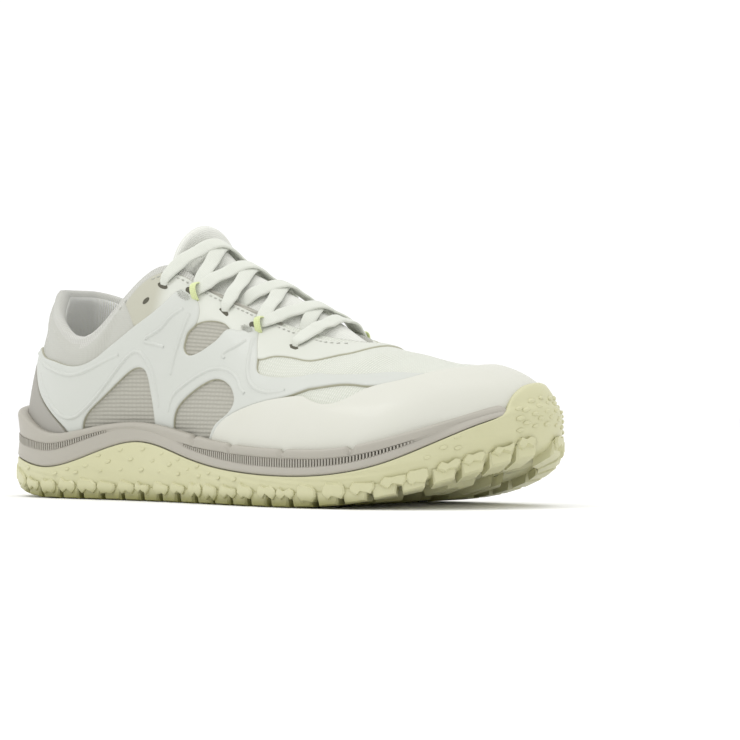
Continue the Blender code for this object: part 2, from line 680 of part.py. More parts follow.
COVERED = by_side(drawn_in)
CUP = RUBBER_WALL + GAP + 0.0001
DRAWN = 0.0005
low_edge = FOAM_LOW
high_edge = FOAM_TOP + (FOAM_LOW + 0.0004 - FOAM_TOP) * COVERED
rings = [
    floor_ring(side_inset(FLOOR + PLATE_TOP) + CUP + 0.0024, PLATE_TOP + GAP),
    wall_ring(side_inset(FLOOR + 0.008) + CUP + 0.0006, FLOOR + 0.0084),
    wall_ring(side_inset(low_edge) + CUP + DRAWN * COVERED, low_edge),
]
for share, inset in FOAM_PROFILE:
    z = low_edge + (high_edge - low_edge) * share
    rings.append(wall_ring(inset + (CUP + DRAWN - inset) * COVERED, z))
rings.append(wall_ring(off_form(high_edge, OFF_OVERLAY), high_edge))
rings.append(floor_ring(off_form(board(LOOP_X), OFF_OVERLAY), STACK - GAP))
ring_solid(
    "midsole",
    rings,
    lambda x: ground(x) + PLATE_TOP + GAP,
    lambda x: board(x) - GAP,
    FOAM,
    0.8,
)

# Insole: a thin loose sheet inside the upper
INSOLE_INSET = FEATHER_INSET + UPPER_WALL + 0.0006
rings = [
    floor_ring(INSOLE_INSET + 0.0004, STACK + INSOLE_LIFT),
    floor_ring(INSOLE_INSET, STACK + 0.6 * INSOLE),
    floor_ring(INSOLE_INSET + 0.0012, STACK + INSOLE),
]
ring_solid(
    "insole",
    [ring[::2] for ring in rings],
    lambda x: board(x) + INSOLE_LIFT,
    lambda x: board(x) + INSOLE,
    LINING,
    0.9,
    0.016,
)


def collar(x, w):
    """1 in the padded collar round the ankle, and 0 elsewhere."""
    return smooth(0.315 - x / LENGTH, 0.0, 0.07) * smooth(w, 0.52, 0.80)


# Upper: one hollow sock, open at the collar, down the throat and underneath
OUTER_SHARES = (0.0, 0.10, 0.22, 0.35, 0.48, 0.61, 0.74, 0.87, 1.0)
INNER_SHARES = (1.0, 0.84, 0.64, 0.42, 0.18, 0.0)
outer = [upper_ring(w, 0.0) for w in OUTER_SHARES]
inner = [upper_ring(w, -UPPER_WALL - COLLAR_PAD * collar(LOOP_X, w)) for w in INNER_SHARES]
ROUND = 0.0004 + 0.0024 * collar(LOOP_X, 1.0)
rim = (outer[-1] + inner[0]) / 2
rim[:, 2] += ROUND
count = len(LOOP_X)
last = SIDE_STEPS
for ring in (outer[-1], inner[0], rim):
    for i in range(THROAT_STEP, last):
        ring[i] = ring[count - i] = (ring[i] + ring[count - i]) / 2
    for i in range(last - 4, last + 5):
        ring[i] = ring[last]
sections = outer + [rim] + inner
points = np.vstack(sections)
faces = []
for k in range(len(sections)):
    a, b = k * count, ((k + 1) % len(sections)) * count
    for i in range(count):
        j = (i + 1) % count
        closed = THROAT_STEP <= min(i, j) and max(i, j) <= count - THROAT_STEP
        if k in (len(outer) - 1, len(outer)) and closed:
            continue
        faces.append((a + i, a + j, b + j, b + i))
faces = [tuple(f) for f in faces]
make_object("upper", points, faces, KNIT, 0.95, 2e-6)


def edge_row(side, x):
    """Height, distance from the spine and slope of the upper's top edge at the lengths x."""
    row = UPPER[side](np.asarray(x, float) / LENGTH)
    reach = np.maximum(row[..., 1], 0.02) * BALL_WIDTH
    return row[..., 0] * INSTEP_HEIGHT, reach, np.tan(np.radians(np.maximum(row[..., 2], 0)))


def bridge(x, y):
    """Height of a skin that carries the upper's slope over the throat from edge to edge, and how
    far each point is inside its edge."""
    x, y = np.broadcast_arrays(np.asarray(x, float), np.asarray(y, float))
    middle = spine(x)[..., 1]
    r = np.abs(y - middle)
    tops, margins = [], []
    for side in (LATERAL, MEDIAL):
        z3, r3, slope = edge_row(side, x)
        steps = np.linspace(0.4, 1, 25)
        ribs = rib(side, share_at_x(side, x)[..., None], steps)
        reach = np.hypot(ribs[..., 0] - spine(x)[..., None, 0], ribs[..., 1] - middle[..., None])
        down = np.empty(x.shape)
        for i in np.ndindex(x.shape):
            down[i] = np.interp(r[i], reach[i][::-1], ribs[i][::-1, 2])
        over = z3 + 0.5 * r3 * slope - r**2 * slope / (2 * r3)
        tops.append(np.where(r < r3, over, down))
        margins.append(r3 - r)
    left = smooth((y - middle) / 0.004, -1, 1)
    return tops[0] * (1 - left) + tops[1] * left, margins[0] * (1 - left) + margins[1] * left


# Tongue: a padded strip under the throat, standing up past its top. Length along the shoe as a
# share of LENGTH, how far its middle stands over the throat's skin, how far it reaches past the
# throat's edges
TONGUE_ROWS = (
    (0.665, -0.0036, 0.004), (0.625, -0.0038, 0.004), (0.570, -0.0041, 0.003),
    (0.515, -0.0045, 0.002), (0.460, -0.0050, 0.001), (0.415, -0.0054, -0.001),
    (0.385, -0.0046, -0.0035),
)
# Its free end: length as a share of LENGTH, height of the middle, half width, fall at the sides
TONGUE_TIP = (
    (0.366, 0.1036, 0.0128, 0.0068), (0.357, 0.1092, 0.0150, 0.0078), (0.352, 0.1134, 0.0165, 0.0080),
)
TONGUE_SHARES = np.linspace(-1, 1, 9)


def tongue_section(share, middle, half, fall):
    """A cross-section that falls to its sides, as points from the lateral to the medial edge."""
    x = share * LENGTH
    y = spine(np.array(x))[1] + half * TONGUE_SHARES
    return np.column_stack([np.full(9, x), y, middle - fall * TONGUE_SHARES**2])


over = []
for share, lift, past in TONGUE_ROWS:
    z3, r3, slope = (np.mean(v) for v in zip(edge_row(LATERAL, share * LENGTH), edge_row(MEDIAL, share * LENGTH)))
    half = r3 + past
    over.append(tongue_section(share, z3 + 0.5 * r3 * slope + lift, half, half**2 * slope / (2 * r3)))
over += [tongue_section(*row) for row in TONGUE_TIP]
over = np.array(over)
along = np.gradient(over, axis=0)
side_on = np.gradient(over, axis=1)
up = np.cross(along, side_on)
up /= np.linalg.norm(up, axis=2)[..., None]
up *= np.sign(up[..., 2:])
thick = TONGUE * (1 - 0.45 * TONGUE_SHARES**4)
under = over - up * thick[:, None]
rows, columns = over.shape[:2]
points = np.vstack([over.reshape(-1, 3), under.reshape(-1, 3)])
half_count = rows * columns
faces = []
for i in range(rows - 1):
    for j in range(columns - 1):
        a = i * columns + j
        quad = (a, a + 1, a + columns + 1, a + columns)
        faces += [quad, tuple(q + half_count for q in quad[::-1])]
border = [j for j in range(columns)] + [i * columns + columns - 1 for i in range(1, rows)]
border += [(rows - 1) * columns + j for j in range(columns - 2, -1, -1)]
border += [i * columns for i in range(rows - 2, 0, -1)]
for a, b in zip(border, border[1:] + border[:1]):
    faces.append((a, b, b + half_count, a + half_count))
make_object("tongue", points, faces, KNIT, 0.95)

# Overlays, drawn on charts of the upper's form
ROUND_CHART = (0.290, 0.080)
OVER_CHART = (0.260, 0.080)


def tuck(u, off=0.0016):
    """Share up the ribs at which an overlay goes behind the foam rim."""
    u = np.asarray(u, float)
    t = np.where(u < 0, -u, np.where(u > 1, 2 - u, u))
    found = np.empty(len(u))
    for k, side in enumerate(np.where((u < 0) | (u > 1), MEDIAL, LATERAL)):
        x = outline(side, t[k])[0][0]
        top = sole_heights(side, x)[1] - off
        found[k] = max(share_at_height(side, t[k : k + 1], [top])[0], 0.03)
    return found


def tucked_run(first, last, count=9):
    """The lower edge of an overlay, behind the foam rim, as points of the round chart."""
    u = np.linspace(first, last, count)
    return np.column_stack([u, tuck(u)])


def mirrored(points):
    """Points of the round chart's lateral side, put on the medial side."""
    return [(2 - u, w) for u, w in points]


def on_foam(rows):
    """Rows of the round chart, with the ends marked None put behind the foam rim."""
    return [(u, tuck(np.array([u]))[0] if w is None else w) for u, w in rows]


# Heel counter: share of run, share up the rib
COUNTER_TOP = (
    (0.208, None), (0.194, 0.300), (0.178, 0.353), (0.153, 0.417), (0.128, 0.477), (0.095, 0.560),
    (0.050, 0.625), (0.000, 0.645),
)
lateral_top = on_foam(COUNTER_TOP)
runs = [tucked_run(-0.208, 0.208, 15), lateral_top + [(-u, w) for u, w in lateral_top[-2::-1]]]
panel("heel_counter", around, ROUND_CHART, [chart_loop(runs, ROUND_CHART)], COUNTER, 0.9)

# Eyestay: a band round the throat, widening to a tab at each top corner. Share of LENGTH, share
# down the rib from the top edge
EYESTAY_OUT = (
    (0.372, 0.235), (0.395, 0.190), (0.430, 0.160), (0.475, 0.168), (0.530, 0.232), (0.568, 0.300),
    (0.590, 0.262), (0.615, 0.250), (0.644, 0.243), (0.665, 0.233), (0.686, 0.190), (0.705, 0.100),
    (0.712, 0.000),
)
EYESTAY_CORNER = ((0.276, 0.030), (0.290, 0.140), (0.308, 0.262), (0.318, 0.305), (0.340, 0.285), (0.372, 0.235))
EYESTAY_IN = (
    (0.276, 0.030), (0.330, 0.030), (0.400, 0.030), (0.480, 0.030), (0.560, 0.035), (0.625, 0.045),
    (0.660, 0.060), (0.680, 0.070),
)
# Side cage of one side: its edge against the counter, its edge below the collar, the seam below
# the eyestay, its arm over the forefoot, and the openings in it
CAGE_COUNTER = (
    (0.000, 0.655), (0.050, 0.635), (0.099, 0.568), (0.133, 0.484), (0.158, 0.424),
    (0.183, 0.360), (0.206, 0.280), (0.211, None),
)
CAGE_COLLAR = (
    (0.313, 0.645), (0.288, 0.690), (0.262, 0.765),
    (0.235, 0.800), (0.207, 0.810), (0.178, 0.778), (0.135, 0.765), (0.070, 0.775), (0.000, 0.785),
)
CAGE_REAR_OPENING = (
    (0.236, None), (0.236, 0.350), (0.247, 0.425), (0.275, 0.462), (0.305, 0.463), (0.332, 0.463),
    (0.343, 0.448), (0.350, 0.410), (0.355, 0.350), (0.360, 0.280), (0.364, None),
)
CAGE_FRONT_OPENING = (
    (0.402, None), (0.404, 0.270), (0.416, 0.330), (0.433, 0.385), (0.457, 0.450), (0.475, 0.480),
    (0.493, 0.474), (0.508, 0.434), (0.514, 0.380), (0.507, 0.315), (0.486, 0.245), (0.472, None),
)
CAGE_RAND = (
    (0.480, None), (0.494, 0.236), (0.516, 0.310), (0.548, 0.374), (0.590, 0.424), (0.625, 0.446),
    (0.657, 0.476), (0.692, 0.520), (0.725, 0.530), (0.765, 0.590), (0.800, 0.650),
)
CAGE_VAMP = (
    (0.800, 0.662), (0.770, 0.680), (0.738, 0.680), (0.693, 0.610), (0.655, 0.568), (0.612, 0.575),
    (0.575, 0.585), (0.545, 0.600), (0.531, 0.640),
)
CAGE_TOP_OPENING = (
    (0.407, 0.613), (0.408, 0.680), (0.416, 0.742), (0.429, 0.772), (0.444, 0.780), (0.456, 0.764),
    (0.455, 0.735), (0.441, 0.665), (0.424, 0.597), (0.413, 0.580),
)


SEAM = 0.010
SEAM_SPAN = (0.374, 0.566)


def cage_side(name, side, heel=0.0008):
    """A cage drawn on the lateral half of the chart from u = heel, then put on its side."""
    counter = [(max(u, heel), w) for u, w in on_foam(CAGE_COUNTER)]
    edge = spread(np.array(EYESTAY_OUT) * OVER_CHART, False, 0.006) / OVER_CHART
    edge = edge[(edge[:, 0] > SEAM_SPAN[0]) & (edge[:, 0] < SEAM_SPAN[1])][::-1]
    seam = [(float(share_at_x(side, x * LENGTH)), 1 - v - SEAM) for x, v in edge]
    corner = (float(share_at_x(side, 0.342 * LENGTH)), 0.675)
    collar_edge = [seam[-1], corner] + [(max(u, heel), w) for u, w in CAGE_COLLAR]
    vamp = list(CAGE_VAMP) + [seam[0]]
    runs = [
        counter,
        tucked_run(0.211, 0.236, 3),
        on_foam(CAGE_REAR_OPENING),
        tucked_run(0.364, 0.402, 3),
        on_foam(CAGE_FRONT_OPENING),
        tucked_run(0.472, 0.480, 2),
        on_foam(CAGE_RAND),
        [CAGE_RAND[-1], CAGE_VAMP[0]],
        vamp,
        seam,
        collar_edge,
        [collar_edge[-1], counter[0]],
    ]
    loop = chart_loop(runs, ROUND_CHART, 0.0055)
    hole = round_hole(CAGE_TOP_OPENING, ROUND_CHART)
    if side == MEDIAL:
        loop, hole = (np.column_stack([2 - p[:, 0], p[:, 1]]) for p in (loop, hole))
    panel(name, around, ROUND_CHART, [loop, hole], FILM, 0.6)


cage_side("side_cage_lateral", LATERAL)
cage_side("side_cage_medial", MEDIAL)

# Toe rand: its top edge on the lateral half, mirrored to the medial half
RAND_TOP = (
    (0.484, None), (0.498, 0.226), (0.520, 0.300), (0.550, 0.362), (0.590, 0.410), (0.622, 0.418),
    (0.650, 0.385), (0.678, 0.370), (0.700, 0.410), (0.724, 0.500), (0.765, 0.575), (0.812, 0.640),
    (0.880, 0.700), (0.950, 0.715), (1.000, 0.718),
)
top_edge = on_foam(RAND_TOP)
top_edge += mirrored(top_edge[-2::-1])
runs = [tucked_run(1.516, 0.484, 31), top_edge]
panel("toe_rand", around, ROUND_CHART, [chart_loop(runs, ROUND_CHART)], RAND, 0.6)

front_in = [(0.680, -0.070), (0.690, -0.050), (0.6955, 0.000), (0.690, 0.050), (0.680, 0.070)]
runs = [
    [(x, -v) for x, v in EYESTAY_CORNER],
    [(x, -v) for x, v in EYESTAY_OUT],
    [(x, v) for x, v in EYESTAY_OUT[::-1]],
    list(EYESTAY_CORNER[::-1]),
    list(EYESTAY_IN),
    front_in[::-1],
    [(x, -v) for x, v in EYESTAY_IN[::-1]],
]
panel("eyestay", across, OVER_CHART, [chart_loop(runs, OVER_CHART, 0.005)], FILM, 0.6)

# Eyelets: share of LENGTH and share down the rib, then whether a webbing loop stands there
EYELETS = {
    LATERAL: (
        (0.357, 0.120, False), (0.415, 0.095, True), (0.470, 0.110, False), (0.536, 0.095, True),
        (0.611, 0.140, False),
    ),
    MEDIAL: (
        (0.357, 0.120, True), (0.415, 0.110, True), (0.470, 0.110, True), (0.536, 0.110, True),
        (0.611, 0.130, True),
    ),
}
WEBBING = (0.0028, 0.0072, 0.0009)
for side, label in ((LATERAL, "lateral"), (MEDIAL, "medial")):
    for k, (x, v, looped) in enumerate(EYELETS[side]):
        if not looped:
            continue
        wide, long_, thick_ = WEBBING
        half = wide / 2 / OVER_CHART[0]
        near, far = v + 0.030, v + 0.030 + long_ / OVER_CHART[1]
        corners = [(x - half, near), (x + half, near), (x + half, far), (x - half, far)]
        runs = [[corners[i], corners[(i + 1) % 4]] for i in range(4)]
        loop = chart_loop(runs, OVER_CHART, 0.0026) * (1, side)
        low = OFF_OVERLAY
        panel(f"lace_loop_{label}_{k + 1}", across, OVER_CHART, [loop], LOOP, 0.8, low, low + thick_)


def lace_strip(start, stop, lift, steps=9):
    """Corners and faces of a flat lace laid over the tongue between two points seen from above."""
    s = np.linspace(0, 1, steps + 1)[:, None]
    flat = np.array(start) * (1 - s) + np.array(stop) * s
    flat = flat[:, :2]

    def skin(p):
        z, margin = bridge(p[:, 0], p[:, 1])
        return np.column_stack([p, z]), margin

    base, margin = skin(flat)
    ahead = skin(flat + (0.002, 0))[0] - skin(flat - (0.002, 0))[0]
    aside = skin(flat + (0, 0.001))[0] - skin(flat - (0, 0.001))[0]
    up = np.cross(ahead, aside)
    up /= np.linalg.norm(up, axis=1)[:, None]
    rise = LACE_LOW + (LACE_HIGH - LACE_LOW) * (1 - smooth(margin, 0.001, 0.0080))
    middle = base + up * (rise + lift)[:, None]
    along = np.gradient(middle, axis=0)
    along /= np.linalg.norm(along, axis=1)[:, None]
    wide = np.cross(up, along) * LACE_WIDTH / 2
    high = up * LACE_THICKNESS / 2
    rings = np.stack([middle - wide - high, middle + wide - high, middle + wide + high, middle - wide + high], 1)
    faces = []
    for i in range(steps):
        for k in range(4):
            a, b = 4 * i + k, 4 * i + (k + 1) % 4
            faces.append((a, b, b + 4, a + 4))
    faces += [(3, 2, 1, 0), tuple(4 * steps + k for k in range(4))]
    return rings.reshape(-1, 3), faces


# Laces: a bar at the front and four crossings, joined where they meet, their ends at the top eyelets
spots = {}
for side in (LATERAL, MEDIAL):
    spots[side] = [across(x, side * v)[:2] for x, v, _ in EYELETS[side]]
strips = [lace_strip(spots[LATERAL][4], spots[MEDIAL][4], LACE_DROP / 2)]
for k in range(4):
    strips.append(lace_strip(spots[LATERAL][k], spots[MEDIAL][k + 1], 0.0))
    strips.append(lace_strip(spots[MEDIAL][k], spots[LATERAL][k + 1], LACE_DROP))
laces = make_object("laces", *strips[0], LACE, 0.9)
for k, (points, faces) in enumerate(strips[1:]):
    strip = make_object(f"lace_strip_{k}", points, faces, LACE, 0.9)
    strip.hide_render = True
    strip.display_type = "WIRE"
    join = laces.modifiers.new(strip.name, "BOOLEAN")
    join.operation = "UNION"
    join.solver = "EXACT"
    join.object = strip
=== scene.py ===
"""The looks of a low barefoot trail shoe: a right shoe, seen from its outer side.

Sizes are in metres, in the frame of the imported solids: +X to the toe, +Y to the inner side, +Z up.
The forms are drawn from the back of the heel and moved to that frame when a mesh is made.
"""

import math

import bmesh
import bpy
import numpy as np
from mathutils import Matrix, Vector
from mathutils.geometry import delaunay_2d_cdt


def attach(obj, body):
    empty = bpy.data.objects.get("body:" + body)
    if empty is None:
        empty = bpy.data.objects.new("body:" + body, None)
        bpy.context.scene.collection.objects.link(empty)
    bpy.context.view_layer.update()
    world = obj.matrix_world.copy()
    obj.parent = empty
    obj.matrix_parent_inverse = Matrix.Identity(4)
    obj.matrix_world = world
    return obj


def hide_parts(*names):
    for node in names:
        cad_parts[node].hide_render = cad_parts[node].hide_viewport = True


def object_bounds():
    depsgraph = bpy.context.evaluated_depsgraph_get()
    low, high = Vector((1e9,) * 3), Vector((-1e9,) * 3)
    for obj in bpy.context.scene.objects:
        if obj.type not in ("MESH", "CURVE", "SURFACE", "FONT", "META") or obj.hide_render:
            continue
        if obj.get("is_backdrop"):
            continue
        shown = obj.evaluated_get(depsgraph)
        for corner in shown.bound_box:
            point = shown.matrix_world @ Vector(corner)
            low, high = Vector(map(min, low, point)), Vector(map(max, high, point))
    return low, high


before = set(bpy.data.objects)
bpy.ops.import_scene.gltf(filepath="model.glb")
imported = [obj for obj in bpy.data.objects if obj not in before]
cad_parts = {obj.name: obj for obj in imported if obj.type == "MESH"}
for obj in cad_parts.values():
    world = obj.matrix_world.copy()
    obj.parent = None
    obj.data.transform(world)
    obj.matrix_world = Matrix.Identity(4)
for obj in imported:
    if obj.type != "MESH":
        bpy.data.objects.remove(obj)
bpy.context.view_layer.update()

# ------------------------------------------------------------------ the shoe's own sizes
LENGTH = 0.260
BALL_WIDTH = 0.096
INSTEP_HEIGHT = 0.098
SOLE_SIDE = 0.030
STACK = 0.0145
LUG_DEPTH = 0.0035
RUBBER_WALL = 0.0016
UPPER_WALL = 0.0020
COLLAR_PAD = 0.0042
TONGUE = 0.0042
LACE_WIDTH = 0.0062
LACE_THICKNESS = 0.0015
FEATHER_INSET = 0.0052
FILM = 0.0013
EYESTAY_FILM = 0.0008
RAND_FILM = 0.0017
LATERAL, MEDIAL = -1, 1
HEEL_PIVOT, TOE_PIVOT = 0.125, 0.845
THROAT_END = 0.692
FLAT_GROUND = (0.13, 0.70)
BUMPER_TOP = 0.0482
OFF_BUMPER = 0.0018

# The sole's outline seen from above: share of LENGTH, share of BALL_WIDTH to the wearer's left
LATERAL_OUTLINE = (
    (0.000, 0.000), (0.012, -0.135), (0.046, -0.255), (0.135, -0.339), (0.250, -0.344),
    (0.365, -0.360), (0.500, -0.427), (0.615, -0.495), (0.712, -0.521), (0.800, -0.495),
    (0.885, -0.396), (0.946, -0.219), (0.985, -0.031), (1.000, 0.146),
)
MEDIAL_OUTLINE = (
    (0.000, 0.000), (0.012, 0.135), (0.046, 0.250), (0.135, 0.328), (0.250, 0.328),
    (0.365, 0.318), (0.500, 0.365), (0.615, 0.427), (0.731, 0.479), (0.846, 0.474),
    (0.942, 0.417), (0.987, 0.302), (1.000, 0.146),
)
SPINE = ((0.0, 0.0), (0.25, 0.0), (0.45, 0.035), (0.70, 0.085), (0.85, 0.12), (1.0, 0.14))

# Share of LENGTH, then as shares of SOLE_SIDE: ground side, top of the rubber and top of the foam
# rim on the lateral side, the same on the medial side
SOLE_ROWS = (
    (0.00, 0.25, 0.60, 1.30, 0.60, 1.30),
    (0.06, 0.08, 0.52, 1.15, 0.52, 1.15),
    (0.13, 0.00, 0.43, 0.93, 0.43, 0.93),
    (0.22, 0.00, 0.57, 0.97, 0.57, 0.99),
    (0.34, 0.00, 0.80, 1.07, 0.85, 1.12),
    (0.46, 0.00, 0.60, 0.93, 0.62, 0.96),
    (0.60, 0.00, 0.43, 0.78, 0.43, 0.80),
    (0.70, 0.00, 0.40, 0.75, 0.40, 0.76),
    (0.80, 0.06, 0.46, 0.79, 0.48, 0.82),
    (0.88, 0.21, 0.66, 0.95, 0.68, 0.98),
    (0.94, 0.41, 0.96, 1.15, 0.97, 1.17),
    (0.975, 0.57, 1.15, 1.30, 1.15, 1.31),
    (1.00, 0.69, 1.25, 1.38, 1.25, 1.38),
)
SIDE_PROFILE = ((0.0, 0.0032), (0.0035, 0.0017), (0.008, 0.0004), (0.012, 0.0), (0.060, 0.0))

# Ribs of the upper: share of LENGTH, height of the top edge (share of INSTEP_HEIGHT), its distance
# from the spine (share of BALL_WIDTH), slope there and flare at the foot (degrees), and the reach
# of the foot's and of the edge's tangents (shares of the rib's height)
UPPER_ROWS = {
    LATERAL: (
        (0.000, 0.870, 0.160, 72, 4, 0.30, 0.35), (0.045, 0.856, 0.168, 76, 4, 0.30, 0.35),
        (0.090, 0.792, 0.205, 80, 5, 0.30, 0.35), (0.135, 0.722, 0.255, 82, 6, 0.30, 0.33),
        (0.170, 0.670, 0.282, 82, 5, 0.30, 0.33), (0.203, 0.658, 0.290, 80, 6, 0.30, 0.33),
        (0.235, 0.704, 0.280, 76, 5, 0.30, 0.33), (0.272, 0.824, 0.252, 68, 4, 0.30, 0.33),
        (0.310, 0.940, 0.220, 60, 4, 0.32, 0.30), (0.350, 0.985, 0.195, 52, 4, 0.32, 0.30),
        (0.420, 0.900, 0.180, 46, 4, 0.34, 0.30), (0.500, 0.805, 0.170, 40, 8, 0.36, 0.30),
        (0.570, 0.732, 0.158, 34, 8, 0.38, 0.35), (0.625, 0.688, 0.136, 26, 8, 0.42, 0.40),
        (0.662, 0.668, 0.096, 14, 8, 0.45, 0.50), (0.692, 0.652, 0.000, 0, 8, 0.48, 0.60),
        (0.770, 0.608, 0.000, 0, 8, 0.50, 0.70), (0.845, 0.566, 0.000, 0, 8, 0.56, 0.80),
        (1.000, 0.566, 0.000, 0, 6, 0.68, 0.84),
    ),
    MEDIAL: (
        (0.000, 0.870, 0.160, 72, 4, 0.30, 0.35), (0.045, 0.865, 0.168, 76, 4, 0.30, 0.35),
        (0.090, 0.850, 0.200, 80, 5, 0.30, 0.35), (0.135, 0.815, 0.245, 82, 6, 0.30, 0.33),
        (0.170, 0.775, 0.272, 82, 5, 0.30, 0.33), (0.203, 0.755, 0.280, 80, 6, 0.30, 0.33),
        (0.235, 0.775, 0.268, 76, 4, 0.30, 0.33), (0.272, 0.860, 0.238, 68, 3, 0.30, 0.33),
        (0.310, 0.945, 0.205, 60, 3, 0.32, 0.30), (0.350, 0.985, 0.180, 52, 3, 0.32, 0.30),
        (0.420, 0.905, 0.165, 46, 3, 0.34, 0.30), (0.500, 0.812, 0.155, 40, 5, 0.36, 0.30),
        (0.570, 0.740, 0.145, 34, 6, 0.38, 0.35), (0.625, 0.692, 0.127, 26, 6, 0.42, 0.40),
        (0.662, 0.670, 0.090, 14, 7, 0.45, 0.50), (0.692, 0.652, 0.000, 0, 8, 0.48, 0.60),
        (0.770, 0.608, 0.000, 0, 8, 0.50, 0.70), (0.845, 0.566, 0.000, 0, 8, 0.56, 0.80),
        (1.000, 0.566, 0.000, 0, 6, 0.68, 0.84),
    ),
}

# The rubber of the toe: distance round the tip (share of a half outline), share of its full height
TOE_BUMPER = (
    (-0.090, 0.00), (-0.075, 0.03), (-0.063, 0.16), (-0.0575, 0.30), (-0.052, 0.46), (-0.043, 0.64),
    (-0.030, 0.80), (-0.0156, 0.91), (0.000, 0.97), (0.020, 1.00), (0.040, 0.98), (0.060, 0.91), (0.080, 0.79),
    (0.097, 0.62), (0.110, 0.41), (0.120, 0.20), (0.135, 0.04), (0.150, 0.00),
)


# ------------------------------------------------------------------ the forms
def spline(knots, values):
    """A natural cubic spline through rows of values, as a function of arrays."""
    x = np.asarray(knots, float)
    y = np.asarray(values, float).reshape(len(knots), -1)
    h = np.diff(x)
    m = np.eye(len(x))
    rhs = np.zeros_like(y)
    for i in range(1, len(x) - 1):
        m[i, i - 1 : i + 2] = h[i - 1], 2 * (h[i - 1] + h[i]), h[i]
        rhs[i] = 6 * ((y[i + 1] - y[i]) / h[i] - (y[i] - y[i - 1]) / h[i - 1])
    bend = np.linalg.solve(m, rhs)

    def at(q):
        q = np.clip(np.asarray(q, float), x[0], x[-1])
        i = np.clip(np.searchsorted(x, q, side="right") - 1, 0, len(h) - 1)
        a = (x[i + 1] - q)[..., None]
        b = (q - x[i])[..., None]
        s = h[i][..., None]
        return (
            (bend[i] * a**3 + bend[i + 1] * b**3) / (6 * s)
            + (y[i] / s - bend[i] * s / 6) * a
            + (y[i + 1] / s - bend[i + 1] * s / 6) * b
        )

    return at


def unit(vectors):
    """Vectors scaled to a length of 1."""
    return vectors / np.linalg.norm(vectors, axis=-1)[..., None]


def heading(path):
    """Unit tangents along a path."""
    return unit(np.gradient(path, axis=0))


def run_along(path):
    """Distance along a path at each of its points."""
    return np.r_[0, np.cumsum(np.linalg.norm(np.diff(path, axis=0), axis=1))]


def evened(path, count):
    """Points at even distances along a path, and those distances."""
    run = run_along(path)
    even = np.linspace(0, run[-1], count)
    return np.stack([np.interp(even, run, column) for column in path.T], axis=1), even


def half_outlines(steps=400):
    """For each side, points and outward normals evenly spaced from the heel back to the toe tip."""
    loop = list(LATERAL_OUTLINE) + list(reversed(MEDIAL_OUTLINE[1:-1]))
    loop = np.array(loop) * (LENGTH, BALL_WIDTH)
    n, wrap = len(loop), 4
    ring = np.vstack([loop[-wrap:], loop, loop[: wrap + 1]])
    knots = np.r_[0, np.cumsum(np.sqrt(np.linalg.norm(np.diff(ring, axis=0), axis=1)))]
    curve = spline(knots, ring)
    heel, toe, end = knots[wrap], knots[wrap + len(LATERAL_OUTLINE) - 1], knots[wrap + n]
    halves = {}
    for side, a, b in ((LATERAL, heel, toe), (MEDIAL, end, toe)):
        p, run = evened(curve(np.linspace(a, b, steps * 4)), steps)
        tangent = np.gradient(p, axis=0)
        tangent[0], tangent[-1] = (0, side), (0, -side)
        tangent = unit(tangent)
        normal = np.stack([-tangent[:, 1], tangent[:, 0]], axis=1) * side
        halves[side] = (run / run[-1], p, normal, run[-1])
    return halves


HALVES = half_outlines()
SOLE = spline([r[0] for r in SOLE_ROWS], [r[1:] for r in SOLE_ROWS])
UPPER = {s: spline([r[0] for r in rows], [r[1:] for r in rows]) for s, rows in UPPER_ROWS.items()}
SPINE_Y = spline([r[0] for r in SPINE], [r[1] for r in SPINE])
WIDTH_MIDDLE = (HALVES[LATERAL][1][:, 1].min() + HALVES[MEDIAL][1][:, 1].max()) / 2
SHIFT = np.array([-LENGTH / 2, -WIDTH_MIDDLE, 0.0])


def outline(side, t, out=0.0):
    """Points and normals on a half outline at the shares t of its run, moved out by a distance."""
    share, p, normal, _ = HALVES[side]
    t = np.asarray(t, float)
    at = [np.interp(t, share, p[:, k]) for k in (0, 1)]
    n = unit(np.stack([np.interp(t, share, normal[:, k]) for k in (0, 1)], axis=-1))
    return np.stack(at, axis=-1) + n * np.asarray(out, float)[..., None], n


def share_at_x(side, x):
    """The share of a half outline's run at which it reaches x."""
    share, p, _, _ = HALVES[side]
    return np.interp(x, p[:, 0], share)


def smooth(x, low, high):
    """0 below low, 1 above high, and an even step between them."""
    q = np.clip((np.asarray(x, float) - low) / (high - low), 0, 1)
    return q * q * (3 - 2 * q)


def soft_clamp(x, low, high, round_=0.03):
    """x kept between low and high, with rounded corners."""
    x = low + 0.5 * ((x - low) + np.sqrt((x - low) ** 2 + round_**2))
    return high - 0.5 * ((high - x) + np.sqrt((high - x) ** 2 + round_**2))


def spine(x):
    """The point on the shoe's spine that the rib from an outline point at x leads to."""
    sx = soft_clamp(x / LENGTH, HEEL_PIVOT, TOE_PIVOT)
    return np.stack([sx * LENGTH, SPINE_Y(sx)[..., 0] * BALL_WIDTH], axis=-1)


def ground(x):
    """Height of the sole's ground side: flat under the foot, with the toe's and the heel's spring."""
    key = np.asarray(x, float) / LENGTH
    low = SOLE(key)[..., 0] * SOLE_SIDE
    return np.where((key >= FLAT_GROUND[0]) & (key <= FLAT_GROUND[1]), 0.0, np.maximum(low, 0.0))


def sole_heights(side, x):
    """Top of the rubber and top of the foam rim on one side."""
    h = SOLE(np.asarray(x, float) / LENGTH) * SOLE_SIDE
    return (h[..., 1], h[..., 2]) if side == LATERAL else (h[..., 3], h[..., 4])


def board(x):
    """Height of the insole board, on which the upper stands."""
    return ground(x) + STACK


